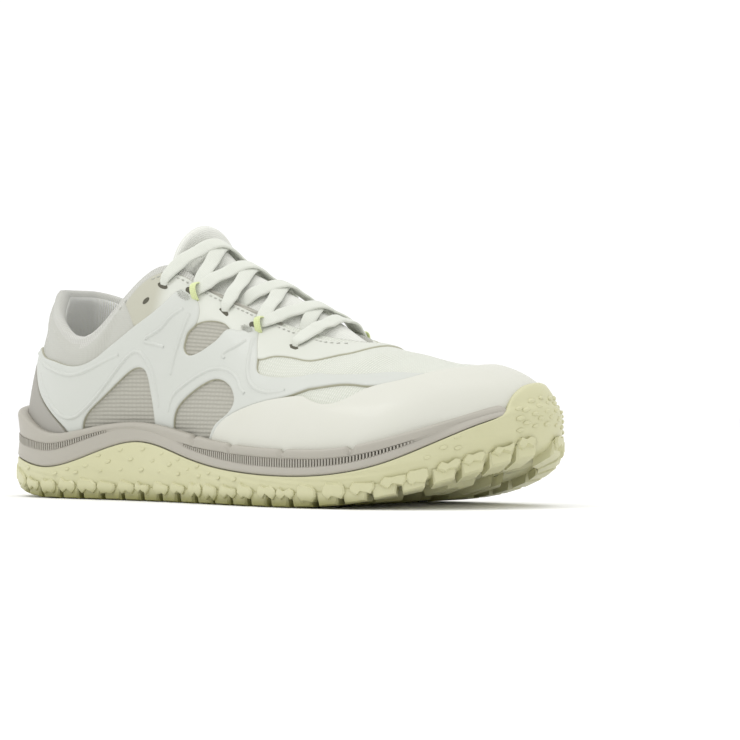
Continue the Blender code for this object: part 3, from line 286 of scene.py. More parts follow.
def rib(side, t, w, out=0.0):
    """Points of the upper's outer form at shares t along the outline and w up each rib, moved out
    by a distance square to the rib."""
    t, w = np.broadcast_arrays(np.asarray(t, float), np.asarray(w, float))
    p, n = outline(side, t)
    foot = p - n * FEATHER_INSET
    s = spine(p[..., 0])
    away = foot - s
    reach = np.linalg.norm(away, axis=-1)
    away = away / reach[..., None]
    key = np.minimum(p[..., 0] / LENGTH, 1)
    edge = UPPER[side](soft_clamp(key, -1, TOE_PIVOT, 0.02))
    feet = UPPER[side](key)
    z0 = board(p[..., 0])
    z3 = edge[..., 0] * INSTEP_HEIGHT
    r3 = np.where(key < THROAT_END - 1e-6, np.maximum(edge[..., 1], 0), 0) * BALL_WIDTH
    lean = np.radians(np.maximum(edge[..., 2], 0))
    flare = np.radians(feet[..., 3])
    a, b = feet[..., 4] * (z3 - z0), feet[..., 5] * (z3 - z0)
    knots = np.stack([
        np.stack([reach, z0], -1),
        np.stack([reach + a * np.sin(flare), z0 + a * np.cos(flare)], -1),
        np.stack([r3 + b * np.cos(lean), z3 - b * np.sin(lean)], -1),
        np.stack([r3, z3], -1),
    ], axis=-2)
    w = w[..., None]
    weights = ((1 - w) ** 3, 3 * w * (1 - w) ** 2, 3 * w**2 * (1 - w), w**3)
    slopes = (-3 * (1 - w) ** 2, 3 * (1 - w) * (1 - 3 * w), 3 * w * (2 - 3 * w), 3 * w**2)
    q = sum(c * knots[..., k, :] for k, c in enumerate(weights))
    d = sum(c * knots[..., k, :] for k, c in enumerate(slopes))
    square = np.stack([d[..., 1], -d[..., 0]], axis=-1)
    square /= np.maximum(np.linalg.norm(square, axis=-1), 1e-9)[..., None]
    q = q + square * np.asarray(out, float)[..., None]
    flat = s + away * q[..., :1]
    return np.concatenate([flat, q[..., 1:]], axis=-1)


# Soft troughs and ridges of the worn-in upper: side, share of run and share up the rib of their two
# ends, half width in metres, depth in metres (a ridge is negative)
CREASES = (
    (LATERAL, 0.640, 0.62, 0.655, 0.98, 0.0050, 0.0007),
    (LATERAL, 0.700, 0.56, 0.712, 0.96, 0.0050, 0.0006),
    (LATERAL, 0.672, 0.60, 0.684, 0.96, 0.0040, -0.0004),
    (MEDIAL, 0.640, 0.62, 0.655, 0.98, 0.0050, 0.0007),
    (MEDIAL, 0.700, 0.56, 0.712, 0.96, 0.0050, 0.0006),
    (LATERAL, 0.140, 0.86, 0.235, 0.84, 0.0040, 0.0007),
    (MEDIAL, 0.140, 0.86, 0.235, 0.84, 0.0040, 0.0007),
    (LATERAL, 0.262, 0.80, 0.290, 0.93, 0.0035, 0.0006),
    (LATERAL, 0.372, 0.50, 0.392, 0.66, 0.0050, 0.0005),
    (LATERAL, 0.520, 0.46, 0.560, 0.52, 0.0040, -0.0004),
)
CHART = np.array([0.300, 0.080])


def relief(side, t, w):
    """How far the upper's creases stand out at a place on one side."""
    t, w = np.broadcast_arrays(np.asarray(t, float), np.asarray(w, float))
    total = np.zeros(t.shape)
    for crease_side, t1, w1, t2, w2, half, depth in CREASES:
        if crease_side != side:
            continue
        a, b = np.array([t1, w1]) * CHART, np.array([t2, w2]) * CHART
        p = np.stack([t, w], -1) * CHART - a
        s = np.clip((p @ (b - a)) / ((b - a) @ (b - a)), 0, 1)
        d = np.linalg.norm(p - s[..., None] * (b - a), axis=-1)
        total -= depth * np.exp(-((d / half) ** 2)) * (0.35 + 0.65 * np.sin(np.pi * s))
    return total


def skin(side, t, w, out=0.0):
    """The upper's form with its creases."""
    return rib(side, t, w, out + relief(side, t, w))


def around(u, w, out=0.0):
    """The upper's form round the shoe: u is 0 at the heel, 1 at the toe by way of the lateral
    side, and 2 at the heel again; below 0 it is on the medial side of the heel."""
    u, w, out = np.broadcast_arrays(*(np.asarray(v, float) for v in (u, w, out)))
    t = np.where(u < 0, -u, np.where(u > 1, 2 - u, u))
    medial = (u < 0) | (u > 1)
    return np.where(medial[..., None], skin(MEDIAL, t, w, out), skin(LATERAL, t, w, out))


def across(x, v, out=0.0):
    """The upper's form over the instep: x is a share of LENGTH and v is the share down the rib
    from its top edge, negative on the lateral side."""
    x, v, out = np.broadcast_arrays(*(np.asarray(q, float) for q in (x, v, out)))
    w = 1 - np.abs(v)
    lateral = skin(LATERAL, share_at_x(LATERAL, x * LENGTH), w, out)
    medial = skin(MEDIAL, share_at_x(MEDIAL, x * LENGTH), w, out)
    middle = (lateral + medial) / 2
    return np.where((v < 0)[..., None], lateral, np.where((v > 0)[..., None], medial, middle))


def facing(chart, u, w, step=0.001):
    """Unit tangents along the chart's two axes and the outward normal."""
    u, w = np.asarray(u), np.asarray(w)
    ways = (
        chart(u + step, w) - chart(u - step, w),
        chart(u, w + step) - chart(u, w - step),
        chart(u, w, step) - chart(u, w, -step),
    )
    return tuple(unit(way) for way in ways)


def share_at_height(side, t, z):
    """How far up its ribs the upper's form reaches the heights z."""
    steps = np.linspace(0, 1, 41)
    heights = rib(side, np.asarray(t)[:, None], steps)[..., 2]
    return np.array([np.interp(z[i], heights[i], steps) for i in range(len(heights))])


def form_inset(side, t, z, out):
    """How far in from the outline the upper's form, moved out, stands at the heights z."""
    p, n = outline(side, t)
    steps = np.linspace(0, 0.7, 36)
    q = rib(side, np.asarray(t)[:, None], steps, out)
    inset = np.einsum("ijk,ik->ij", p[:, None] - q[..., :2], n)
    return np.array([np.interp(z[i], q[i, :, 2], inset[i]) for i in range(len(p))])


class Loop:
    """Stations round the shoe at the same x on both sides, from the heel by the lateral side."""

    def __init__(self, steps):
        end = share_at_x(LATERAL, THROAT_END * LENGTH)
        self.throat = round(steps * end)
        lateral = np.r_[
            np.linspace(0, end, self.throat + 1), np.linspace(end, 1, steps - self.throat + 1)[1:]
        ]
        x = outline(LATERAL, lateral)[0][:, 0]
        medial = share_at_x(MEDIAL, x)
        medial[0], medial[-1] = 0, 1
        self.steps = steps
        self.side = np.r_[np.full(steps + 1, LATERAL), np.full(steps - 1, MEDIAL)]
        self.t = np.r_[lateral, medial[-2:0:-1]]
        self.x = np.r_[x, x[-2:0:-1]]
        self.count = len(self.x)
        run = np.where(self.side == LATERAL, self.t, 2 - self.t)
        self.run = run * HALVES[LATERAL][3]
        self.floor = ground(self.x)
        heights = [self.each(lambda side, t, x: sole_heights(side, x)[k], self.x) for k in (0, 1)]
        self.rubber, self.foam = heights

    def each(self, function, *columns):
        """Calls function(side, t, ...) for each side's stations and puts them in order."""
        parts = []
        for side in (LATERAL, MEDIAL):
            pick = self.side == side
            parts.append(function(side, self.t[pick], *[(c + 0 * self.x)[pick] for c in columns]))
        return np.concatenate(parts)

    def wall(self, inset, z):
        """A ring that stands in from the outline by inset, at the heights z."""
        flat = self.each(lambda side, t, inset: outline(side, t, -inset)[0], inset)
        return np.column_stack([flat, z + 0 * self.x])

    def floor_ring(self, inset, height):
        """A ring that stands in from the outline, at a height above the ground side."""
        ring = self.wall(inset, 0.0)
        ring[:, 2] = ground(ring[:, 0]) + height
        return ring

    def off_form(self, z, out):
        """How far in a wall stands that keeps a distance off the upper's form."""
        return self.each(lambda side, t, z: form_inset(side, t, z, out), z)


# ------------------------------------------------------------------ making meshes
def hex_colour(code):
    """A linear colour from an sRGB hex code."""
    values = [int(code[i : i + 2], 16) / 255 for i in (1, 3, 5)]
    return tuple(v / 12.92 if v <= 0.04045 else ((v + 0.055) / 1.055) ** 2.4 for v in values) + (1,)


def make_mesh(name, points, faces, materials, uv=None, attributes=None, picks=None, weld=0.0):
    """An object at the origin whose points are moved from the heel to the frame's origin."""
    points = np.asarray(points, float) + SHIFT
    mesh = bpy.data.meshes.new(name)
    mesh.from_pydata(points.tolist(), [], [tuple(int(i) for i in f) for f in faces])
    for key, values in (attributes or {}).items():
        layer = mesh.attributes.new(key, "FLOAT", "POINT")
        layer.data.foreach_set("value", np.asarray(values, np.float32))
    if uv is not None:
        layer = mesh.uv_layers.new(name="cloth")
        corners = np.empty(len(mesh.loops), np.int32)
        mesh.loops.foreach_get("vertex_index", corners)
        layer.data.foreach_set("uv", np.asarray(uv, np.float32)[corners].ravel())
    for material in materials:
        mesh.materials.append(material)
    if picks is not None:
        mesh.polygons.foreach_set("material_index", np.asarray(picks, np.int32))
    if weld:
        bm = bmesh.new()
        bm.from_mesh(mesh)
        bmesh.ops.remove_doubles(bm, verts=bm.verts, dist=weld)
        bmesh.ops.recalc_face_normals(bm, faces=bm.faces)
        bm.to_mesh(mesh)
        bm.free()
    mesh.update()
    mesh.shade_smooth()
    obj = bpy.data.objects.new(name, mesh)
    bpy.context.collection.objects.link(obj)
    return obj


def settle(obj, slot, *nodes):
    """Rides a finished piece on the shoe and hides the solids it stands for."""
    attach(obj, "root")
    if nodes:
        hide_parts(*nodes)
    return obj


def between(rows, count, start=0, closed=True):
    """Faces between rows of count points each, numbered from start."""
    last = count if closed else count - 1
    firsts = [start + k * count for k in range(rows - 1)]
    pairs = [(first + i, first + (i + 1) % count) for first in firsts for i in range(last)]
    return [(a, b, b + count, a + count) for a, b in pairs]


def sealed(rings):
    """Points and faces through rings round the shoe, with the first and the last closed by strips
    between stations at the same x on both sides."""
    n = len(rings[0])
    faces = between(len(rings), n)
    for first, upwards in ((0, False), ((len(rings) - 1) * n, True)):
        toe_tip = first + n // 2
        strip = [(first, first + 1, first + n - 1)]
        strip += [(first + i - 1, first + i, first + n - i, first + n - i + 1) for i in range(2, n // 2)]
        strip.append((toe_tip - 1, toe_tip, toe_tip + 1))
        faces += strip if upwards else [face[::-1] for face in strip]
    return np.vstack(rings), faces


def spread(points, step):
    """Points at even steps along a smooth line through a few points, without the last one."""
    knots = run_along(points)
    fine = spline(knots, points)(np.linspace(0, knots[-1], 600))
    count = max(2, round(run_along(fine)[-1] / step))
    return evened(fine, count + 1)[0][:-1]


def inside(points, loop):
    """Which points lie inside an outline."""
    odd = np.zeros(len(points), bool)
    for (x1, y1), (x2, y2) in zip(loop, np.roll(loop, -1, axis=0)):
        if y1 != y2:
            crosses = (points[:, 1] >= min(y1, y2)) & (points[:, 1] < max(y1, y2))
            odd ^= crosses & (points[:, 0] < x1 + (points[:, 1] - y1) * (x2 - x1) / (y2 - y1))
    return odd


def edge_distance(points, loop):
    """Distance from each point to the nearest edge of an outline."""
    nearest = np.full(len(points), 1e9)
    for a, b in zip(loop, np.roll(loop, -1, axis=0)):
        d = b - a
        s = np.clip(((points - a) @ d) / max(d @ d, 1e-18), 0, 1)
        nearest = np.minimum(nearest, np.linalg.norm(points - a - s[:, None] * d, axis=1))
    return nearest


FILM_ROUND = 0.0011    # width over which a film's rim rounds down to the knit
FILM_LIP = 0.00012     # height of the film at its very rim
FILM_SUNK = 0.0002     # how far a film's underside lies in the knit
FILM_STEP = 0.003      # spacing of a film's inner points
RIM_RINGS = (0.0003, 0.0008, 0.0014)    # insets of the rings of points along a film's rim


def filled(loop):
    """Points and triangles that fill an outline: rings of points along its rim, rows within."""
    ahead = np.roll(loop, -1, axis=0) - np.roll(loop, 1, axis=0)
    ahead /= np.maximum(np.linalg.norm(ahead, axis=1), 1e-12)[:, None]
    inward = np.column_stack([-ahead[:, 1], ahead[:, 0]])
    rings = []
    for inset in RIM_RINGS:
        for sign in (1, -1):
            ring = loop + sign * inset * inward
            rings.append(ring[edge_distance(ring, loop) > inset * 0.9])
    low, high = loop.min(axis=0), loop.max(axis=0)
    rows = []
    for j, y in enumerate(np.arange(low[1] + FILM_STEP / 2, high[1], FILM_STEP * 0.866)):
        x = np.arange(low[0] + FILM_STEP * (0.5 if j % 2 else 0.0), high[0], FILM_STEP)
        rows.append(np.column_stack([x, np.full(len(x), y)]))
    grid = np.vstack(rows)
    grid = grid[edge_distance(grid, loop) > RIM_RINGS[-1] + 0.45 * FILM_STEP]
    extra = np.vstack(rings + [grid])
    points = np.vstack([loop, extra[inside(extra, loop)]])
    sides = [(i, (i + 1) % len(loop)) for i in range(len(loop))]
    found = delaunay_2d_cdt([tuple(p) for p in points], sides, [], 0, 1e-9)
    points, triangles = np.array(found[0], float)[:, :2], np.array(found[2])
    triangles = triangles[inside(points[triangles].mean(axis=1), loop)]
    a, b, c = (points[triangles[:, k]] for k in range(3))
    turned = (b - a)[:, 0] * (c - a)[:, 1] - (b - a)[:, 1] * (c - a)[:, 0] < 0
    triangles[turned] = triangles[turned][:, ::-1]
    return points, triangles


def film_panel(name, chart, scale, loop, material, thick=FILM):
    """A bonded film on the upper, inside a loop on a chart, with a rounded rim that runs down to
    the knit."""
    loop = loop * np.array(scale)
    flat, triangles = filled(loop)
    apart = edge_distance(flat, loop)
    q = np.clip(apart / FILM_ROUND, 0, 1)
    height = FILM_LIP + (thick - FILM_LIP) * np.sqrt(1 - (1 - q) ** 2)
    flat = flat / np.array(scale)
    over = chart(flat[:, 0], flat[:, 1], height)
    under = chart(flat[:, 0], flat[:, 1], -FILM_SUNK)
    n = len(flat)
    square = np.cross(*(over[triangles[:, k]] - over[triangles[:, 0]] for k in (1, 2)))
    if np.sum(square * (over - under)[triangles[:, 0]]) < 0:
        triangles = triangles[:, ::-1]
    used = set()
    for a, b, c in triangles:
        used.update(((a, b), (b, c), (c, a)))
    rim = [(a, b) for a, b in used if (b, a) not in used]
    faces = [tuple(t) for t in triangles] + [(b, a, a + n, b + n) for a, b in rim]
    faces += [tuple(i + n for i in t[::-1]) for t in triangles]
    uv = np.vstack([flat * CHART] * 2)
    # The "edge" attribute is the distance from the rim, along which the film's material lays painted shade
    return make_mesh(name, np.vstack([over, under]), faces, [material], uv, {"edge": np.r_[apart, apart * 0]})


def chart_loop(runs, scale, step=0.0013):
    """A closed outline on a chart from smooth runs that meet at corners."""
    scale = np.array(scale)
    return np.vstack([spread(np.array(run) * scale, step) for run in runs]) / scale


def swept(name, path, wide, high, section, material):
    """A closed band swept along a path: section is a ring of (across, up) shares of half width and
    half height."""
    n, m = len(path), len(section)
    rings = path[:, None] + wide[:, None] * section[None, :, :1] + high[:, None] * section[None, :, 1:]
    faces = between(n, m) + [tuple(range(m))[::-1], tuple((n - 1) * m + k for k in range(m))]
    half = np.linalg.norm(wide, axis=1)
    uv = np.stack(np.broadcast_arrays(run_along(path)[:, None], section[None, :, 0] * half[:, None]), -1)
    return make_mesh(name, rings.reshape(-1, 3), faces, [material], uv.reshape(-1, 2), weld=1e-7)


def flat_section(points=14, round_=0.42):
    """The ring of a flat band with rounded edges."""
    a = np.linspace(0, 2 * math.pi, points, endpoint=False)
    c, s = np.cos(a), np.sin(a)
    return np.column_stack([np.sign(c) * np.abs(c) ** round_, np.sign(s) * np.abs(s) ** 0.8])


# ------------------------------------------------------------------ materials
def add(tree, kind, inputs=(), **settings):
    """Adds a node: settings are set on it, and inputs, in order or by name or place, are joined to
    a socket or set to a value."""
    node = tree.nodes.new(kind)
    for key, value in settings.items():
        setattr(node, key, value)
    for key, value in inputs.items() if isinstance(inputs, dict) else enumerate(inputs):
        if isinstance(value, bpy.types.NodeSocket):
            tree.links.new(value, node.inputs[key])
        else:
            node.inputs[key].default_value = value
    return node


def started(name, roughness, sheen=0.0, coat=0.0, ior=1.5):
    """A new material, its tree and its shader."""
    material = bpy.data.materials.new(name)
    material.use_nodes = True
    shader = material.node_tree.nodes["Principled BSDF"]
    for key, value in (("Roughness", roughness), ("IOR", ior), ("Sheen Weight", sheen), ("Coat Weight", coat)):
        shader.inputs[key].default_value = value
    return material, material.node_tree, shader


def dressed(tree, shader, colour, height, strength, depth):
    """Joins a colour and the height of the grain to a shader."""
    tree.links.new(colour, shader.inputs["Base Color"])
    bump = add(tree, "ShaderNodeBump", {"Height": height, "Strength": strength, "Distance": depth})
    tree.links.new(bump.outputs[0], shader.inputs["Normal"])


def cloth(name, yarn, gap, rib_pitch, stitch_pitch, ribs_along_v, depth, holes=0.5, rough=0.95):
    """A knit or weave on the piece's own cloth coordinates: ribs one way, stitches across them.
    Holes is the share by which the gaps between stitches cut into a rib."""
    material, tree, shader = started(name, rough, sheen=0.25)
    uv = add(tree, "ShaderNodeUVMap", uv_map="cloth").outputs[0]
    wander = add(tree, "ShaderNodeTexNoise", {"Vector": uv, "Scale": 260.0, "Detail": 2.0}).outputs[0]
    split = add(tree, "ShaderNodeSeparateXYZ", (uv,)).outputs
    u, v = (
        add(tree, "ShaderNodeMath", (wander, drift, split[k]), operation="MULTIPLY_ADD").outputs[0]
        for k, drift in enumerate((0.0005, 0.0004))
    )
    waves = []
    for coordinate, pitch in zip((v, u) if ribs_along_v else (u, v), (rib_pitch, stitch_pitch)):
        angle = add(tree, "ShaderNodeMath", (coordinate, 2 * math.pi / pitch), operation="MULTIPLY").outputs[0]
        sine = add(tree, "ShaderNodeMath", (angle,), operation="SINE").outputs[0]
        waves.append(add(tree, "ShaderNodeMath", (sine, 0.5, 0.5), operation="MULTIPLY_ADD").outputs[0])
    ribs = add(tree, "ShaderNodeMath", (waves[0], 0.7), operation="POWER").outputs[0]
    rows = add(tree, "ShaderNodeMath", (waves[1], holes, 1.0 - holes), operation="MULTIPLY_ADD").outputs[0]
    weave = add(tree, "ShaderNodeMath", (ribs, rows), operation="MULTIPLY").outputs[0]
    grit = add(tree, "ShaderNodeTexNoise", {"Vector": uv, "Scale": 2500.0, "Detail": 3.0}).outputs[0]
    height = add(tree, "ShaderNodeMath", (grit, 0.25, weave), operation="MULTIPLY_ADD").outputs[0]
    share = add(tree, "ShaderNodeMath", (height, 1.0), operation="MINIMUM").outputs[0]
    tint = add(
        tree, "ShaderNodeMix", {"Factor": share, 6: hex_colour(gap), 7: hex_colour(yarn)}, data_type="RGBA"
    )
    dressed(tree, shader, tint.outputs[2], height, 1.0, depth)
    return material


def moulded(name, colour, deep, roughness, grain, depth, coat=0.0, ior=1.5, edge=None, shade=None):
    """A moulded or bonded plastic, foam or rubber with a fine grain. Edge is a colour of painted shade
    and the width of the film rim or groove floor it darkens; shade is a colour, an axis and the
    places it fades out between."""
    material, tree, shader = started(name, roughness, coat=coat, ior=ior)
    place = add(tree, "ShaderNodeTexCoord").outputs["Object"]
    broad = add(tree, "ShaderNodeTexNoise", {"Vector": place, "Scale": 45.0, "Detail": 3.0}).outputs[0]
    fine = add(tree, "ShaderNodeTexNoise", {"Vector": place, "Scale": 1.0 / grain, "Detail": 4.0}).outputs[0]
    tint = add(
        tree, "ShaderNodeMix", {"Factor": broad, 6: hex_colour(deep), 7: hex_colour(colour)}, data_type="RGBA"
    ).outputs[2]
    # The edge layer is painted shade along a film's rim or a groove's floor; the shade layer is painted shade
    # on the rubber and a greige tone on the eyestay
    layers = []
    if edge:
        apart = add(tree, "ShaderNodeAttribute", attribute_name="edge").outputs["Fac"]
        layers.append((edge[0], apart, edge[1] * 0.4, edge[1]))
    if shade:
        along = add(tree, "ShaderNodeSeparateXYZ", (place,)).outputs[shade[1]]
        layers.append((shade[0], along, shade[2], shade[3]))
    for code, measure, start, stop in layers:
        fade = add(
            tree, "ShaderNodeMapRange", {"Value": measure, 1: start, 2: stop, 3: 1.0, 4: 0.0},
            interpolation_type="SMOOTHSTEP",
        ).outputs[0]
        tint = add(
            tree, "ShaderNodeMix", {"Factor": fade, 6: tint, 7: hex_colour(code)}, data_type="RGBA"
        ).outputs[2]
    uneven = add(tree, "ShaderNodeMath", (broad, 0.12, roughness - 0.06), operation="MULTIPLY_ADD").outputs[0]
    tree.links.new(uneven, shader.inputs["Roughness"])
    dressed(tree, shader, tint, fine, 0.6, depth)
    return material


# Cloths: colours of the yarn and of the gaps, pitch of the ribs and of the stitches, whether the
# ribs lie along v, depth of the relief, cut of the stitches' gaps, roughness

# Warp-knitted polyester mesh of the side windows: flat horizontal ribs 1.7 mm apart, each of short
# stitches, greige yarn with darker gaps
side_mesh = cloth("polyester rib mesh", "#ACAA9F", "#98968B", 0.00168, 0.0023, True, 0.00025, 0.35)
# Open spacer mesh of the vamp: small cells in columns a millimetre apart, pale yarn, soft shading
vamp_mesh = cloth("polyester spacer mesh", "#D5D7CC", "#BFC2B6", 0.00105, 0.0013, False, 0.0002, 0.6)
# Padded collar's jersey: a soft, slightly heathered knit, its 0.4 mm stitches drawn at 0.7 mm to show
collar_knit = cloth("collar jersey", "#BDBDB5", "#ACADA3", 0.0007, 0.0008, False, 0.00012, 0.3)
# Knitted binding tape along the topline: cross ribs 1.1 mm apart
binding_knit = cloth("binding tape", "#C4C4BD", "#B2B2AA", 0.0011, 0.0010, False, 0.0002, 0.4)
# Lining: brushed warp knit with vertical ribs 1.6 mm apart, in the shade of the shoe
lining_knit = cloth("brushed lining knit", "#EFEFEF", "#E5E6D6", 0.0016, 0.0010, False, 0.0003, 0.25)
# Tongue: fine ribbed padded knit, nearly white
tongue_knit = cloth("tongue rib knit", "#DCDDD5", "#CECFC7", 0.0008, 0.0009, False, 0.00012, 0.5)
# Flat lace: tubular woven polyester, dull; its 0.3 mm weave is drawn at 0.6 mm so that it shows
lace_weave = cloth("woven lace", "#D4D6CC", "#C7CABF", 0.0006, 0.0007, True, 0.00008, 0.5, 0.85)
# Narrow nylon webbing of the lace loops: pale lime, slightly shiny threads
loop_webbing = cloth("nylon webbing", "#D8E0AC", "#C0CB8C", 0.0007, 0.0007, True, 0.0001, 0.5, 0.7)
# Polyester sewing thread, twisted and slightly shiny
sewing_thread = cloth("sewing thread", "#D3D4CA", "#B4B5A8", 0.0006, 0.0006, True, 0.0001, 0.4, 0.7)

# Welded TPU film of the cage: smooth, satin, cool off-white, with a thin olive line of painted shade along its
# rim
cage_film = moulded(
    "TPU film", "#C3C5BF", "#BFC2BA", 0.52, 0.0007, 0.00003, 0.05, 1.42, ("#A3A18C", 0.00038)
)
# Eyestay film: the same film over knit, a little warmer, with painted shade along its rim, and greige at its
# rear end
eyestay_film = moulded(
    "TPU film over knit", "#CBCDC4", "#C6C8BD", 0.55, 0.0008, 0.00004, 0.04, 1.42, ("#ABA993", 0.00036),
    ("#B3B2A2", 0, -0.0400, -0.0320),
)
# Toe rand: thicker film, warm off-white, satin, with faint painted shade along its rim
rand_film = moulded(
    "TPU rand film", "#CCCCC3", "#C9C9BD", 0.55, 0.0008, 0.00003, 0.05, 1.42, ("#BFBEAE", 0.00036)
)
# Heel counter: matt greige film with a fine grain and faint painted shade along its rim
counter_film = moulded("matt TPU film", "#9D9B93", "#97948C", 0.62, 0.0005, 0.00004, edge=("#9B988D", 0.0005))
# Midsole: moulded EVA foam with a satin skin and a very fine grain, with painted shade on its groove's floor
eva_foam = moulded("EVA foam", "#A9A59A", "#A5A196", 0.50, 0.0006, 0.00004)
grooved_foam = moulded(
    "EVA foam, grooved side", "#A9A59A", "#A5A196", 0.50, 0.0006, 0.00004, edge=("#76736A", 0.00050)
)
# Outsole: pale lime moulded rubber, satin, with painted shade towards the ground for the shadow between the
# lugs
lime_rubber = moulded(
    "moulded rubber", "#C4C29E", "#BFBD96", 0.46, 0.0007, 0.00005, 0.05, 1.52,
    shade=("#7F7D42", 2, 0.0004, 0.0066),
)
# Painted shade: a dark patch stands in for the shaded hollow behind a punched hole
hole_painted_shade = moulded("punched hole", "#5A584B", "#504E42", 0.9, 0.0008, 0.00002)


# ------------------------------------------------------------------ what repeats
def socket_named(tree, name):
    """The identifier of a group input."""
    return next(i.identifier for i in tree.interface.items_tree if i.name == name and i.in_out == "INPUT")


def repeat_tree(shape):
    """Puts a small shape on each point, turned by its "along" and "facing" and scaled by "size"."""
    tree = bpy.data.node_groups.new("small " + shape, "GeometryNodeTree")
    for name, kind in (("Geometry", "NodeSocketGeometry"), ("Material", "NodeSocketMaterial"),
                       ("Unevenness", "NodeSocketFloat"), ("Seed", "NodeSocketInt")):
        tree.interface.new_socket(name, in_out="INPUT", socket_type=kind)
    tree.interface.new_socket("Geometry", in_out="OUTPUT", socket_type="NodeSocketGeometry")
    given = tree.nodes.new("NodeGroupInput").outputs
    if shape == "block":
        form = add(tree, "GeometryNodeMeshCube").outputs[0]
        form = add(tree, "GeometryNodeSubdivideMesh", {"Mesh": form, "Level": 1}).outputs[0]
    else:
        form = add(tree, "GeometryNodeMeshIcoSphere", {"Radius": 0.5, "Subdivisions": 2}).outputs[0]
    along, facing_, size = (
        add(tree, "GeometryNodeInputNamedAttribute", {"Name": name}, data_type="FLOAT_VECTOR").outputs[0]
        for name in ("along", "facing", "size")
    )
    turn = add(
        tree, "FunctionNodeAxesToRotation", {"Primary Axis": facing_, "Secondary Axis": along},
        primary_axis="Z", secondary_axis="X",
    ).outputs[0]
    low, high = (
        add(tree, "ShaderNodeMath", (1.0, given["Unevenness"]), operation=operation).outputs[0]
        for operation in ("SUBTRACT", "ADD")
    )
    uneven = add(
        tree, "FunctionNodeRandomValue", {2: low, 3: high, "Seed": given["Seed"]}, data_type="FLOAT"
    ).outputs[1]
    sized = add(tree, "ShaderNodeVectorMath", {0: size, "Scale": uneven}, operation="SCALE").outputs[0]
    placed = add(
        tree, "GeometryNodeInstanceOnPoints",
        {"Points": given["Geometry"], "Instance": form, "Rotation": turn, "Scale": sized},
    ).outputs[0]
    real = add(tree, "GeometryNodeRealizeInstances", {"Geometry": placed}).outputs[0]
    coated = add(tree, "GeometryNodeSetMaterial", {"Geometry": real, "Material": given["Material"]}).outputs[0]
    add(tree, "NodeGroupOutput", (coated,))
    return tree


BLOCKS, PEBBLES = repeat_tree("block"), repeat_tree("pebble")


def repeated(name, tree, rows, material, slot, uneven=0.0, seed=1):
    """A plain mesh of one small shape at many places: each row has arrays of places, directions
    along, directions outward and sizes."""
    places, *turns = (np.vstack(column) for column in zip(*rows))
    mesh = bpy.data.meshes.new(name)
    mesh.from_pydata((places + SHIFT).tolist(), [], [])
    for key, values in zip(("along", "facing", "size"), turns):
        layer = mesh.attributes.new(key, "FLOAT_VECTOR", "POINT")
        layer.data.foreach_set("vector", values.astype(np.float32).ravel())
    source = bpy.data.objects.new(name + " places", mesh)
    bpy.context.collection.objects.link(source)
    modifier = source.modifiers.new("repeat", "NODES")
    modifier.node_group = tree
    for key, value in (("Material", material), ("Unevenness", uneven), ("Seed", seed)):
        modifier[socket_named(tree, key)] = value
    ready = source.evaluated_get(bpy.context.evaluated_depsgraph_get())
    plain = bpy.data.meshes.new_from_object(ready)
    source.modifiers.clear()
    bpy.data.objects.remove(source)
    plain.name = name
    if tree == PEBBLES:
        plain.shade_smooth()
    if "cloth" not in plain.uv_layers:
        plain.uv_layers.new(name="cloth")
    obj = bpy.data.objects.new(name, plain)
    bpy.context.collection.objects.link(obj)
    return settle(obj, slot)


def stitches(name, chart, runs, pitch, out, wide, high):
    """Rows of stitches along lines drawn on a chart of the upper."""
    rows = []
    for run in runs:
        line = spread(np.array(run) * CHART, pitch) / CHART
        p = chart(line[:, 0], line[:, 1], out)
        size = np.broadcast_to((pitch * 0.72, wide, high), p.shape)
        rows.append((p, heading(p), facing(chart, line[:, 0], line[:, 1])[2], size))
    return repeated(name, PEBBLES, rows, sewing_thread, "lace")


# ------------------------------------------------------------------ midsole
# Middle of the ribbed groove (share of the foam side's height) and its half height in metres, at
# distances from the heel
GROOVE = (
    (0.000, 0.42, 0.0017), (0.017, 0.44, 0.0018), (0.032, 0.56, 0.0017), (0.045, 0.63, 0.0014),
    (0.060, 0.69, 0.0008), (0.075, 0.72, 0.0002), (0.112, 0.50, 0.0002), (0.125, 0.48, 0.0007),
    (0.140, 0.50, 0.0015), (0.160, 0.50, 0.0021), (0.185, 0.49, 0.0020), (0.210, 0.48, 0.0014),
    (0.228, 0.50, 0.0006), (0.242, 0.52, 0.0001), (0.260, 0.54, 0.0001),
)
RIM_NOTCHES = (0.124, 0.148, 0.179, 0.211)
GROOVE_DEEP, GROOVE_MARGIN = 0.0016, 0.0003
NOTCH_WIDE, NOTCH_DEEP = 0.0022, 0.0018
SIDE_FOOT = ((0.0001, 0.0008), (0.0006, 0.0003), (0.0013, 0.0))    # height over the rubber, inset
# Steps over the groove: height as a share of its half height, depth as a share of its depth
GROOVE_STEPS = (
    (-1.10, 0.0), (-0.72, 0.0), (-0.60, 0.9), (-0.30, 1.0), (0.30, 1.0), (0.60, 0.9), (0.72, 0.0), (1.10, 0.0),
)
# The rim's rounding: drop from the top, inset
RIM_STEPS = ((0.0021, -0.0001), (0.0014, 0.0), (0.0008, 0.0002), (0.0003, 0.0006), (0.0, 0.0012))
FOAM_OFF_FORM = 0.0011    # gap from the upper to the foam's inner side
SOLE_UNDER = 0.0058       # height of the foam's underside over the ground side
sole = Loop(420)


def drawn_in(side, t):
    """1 where the toe bumper covers the foam, and 0 where the foam shows."""
    return np.interp((1 - t) * side, (-0.068, -0.052, 0.108, 0.135), (0, 1, 1, 0))


def side_inset(loop, z):
    """How far the sole's side stands in from its outline at the heights z."""
    rows = np.array(SIDE_PROFILE)
    return np.interp(z - loop.floor, rows[:, 0], rows[:, 1])


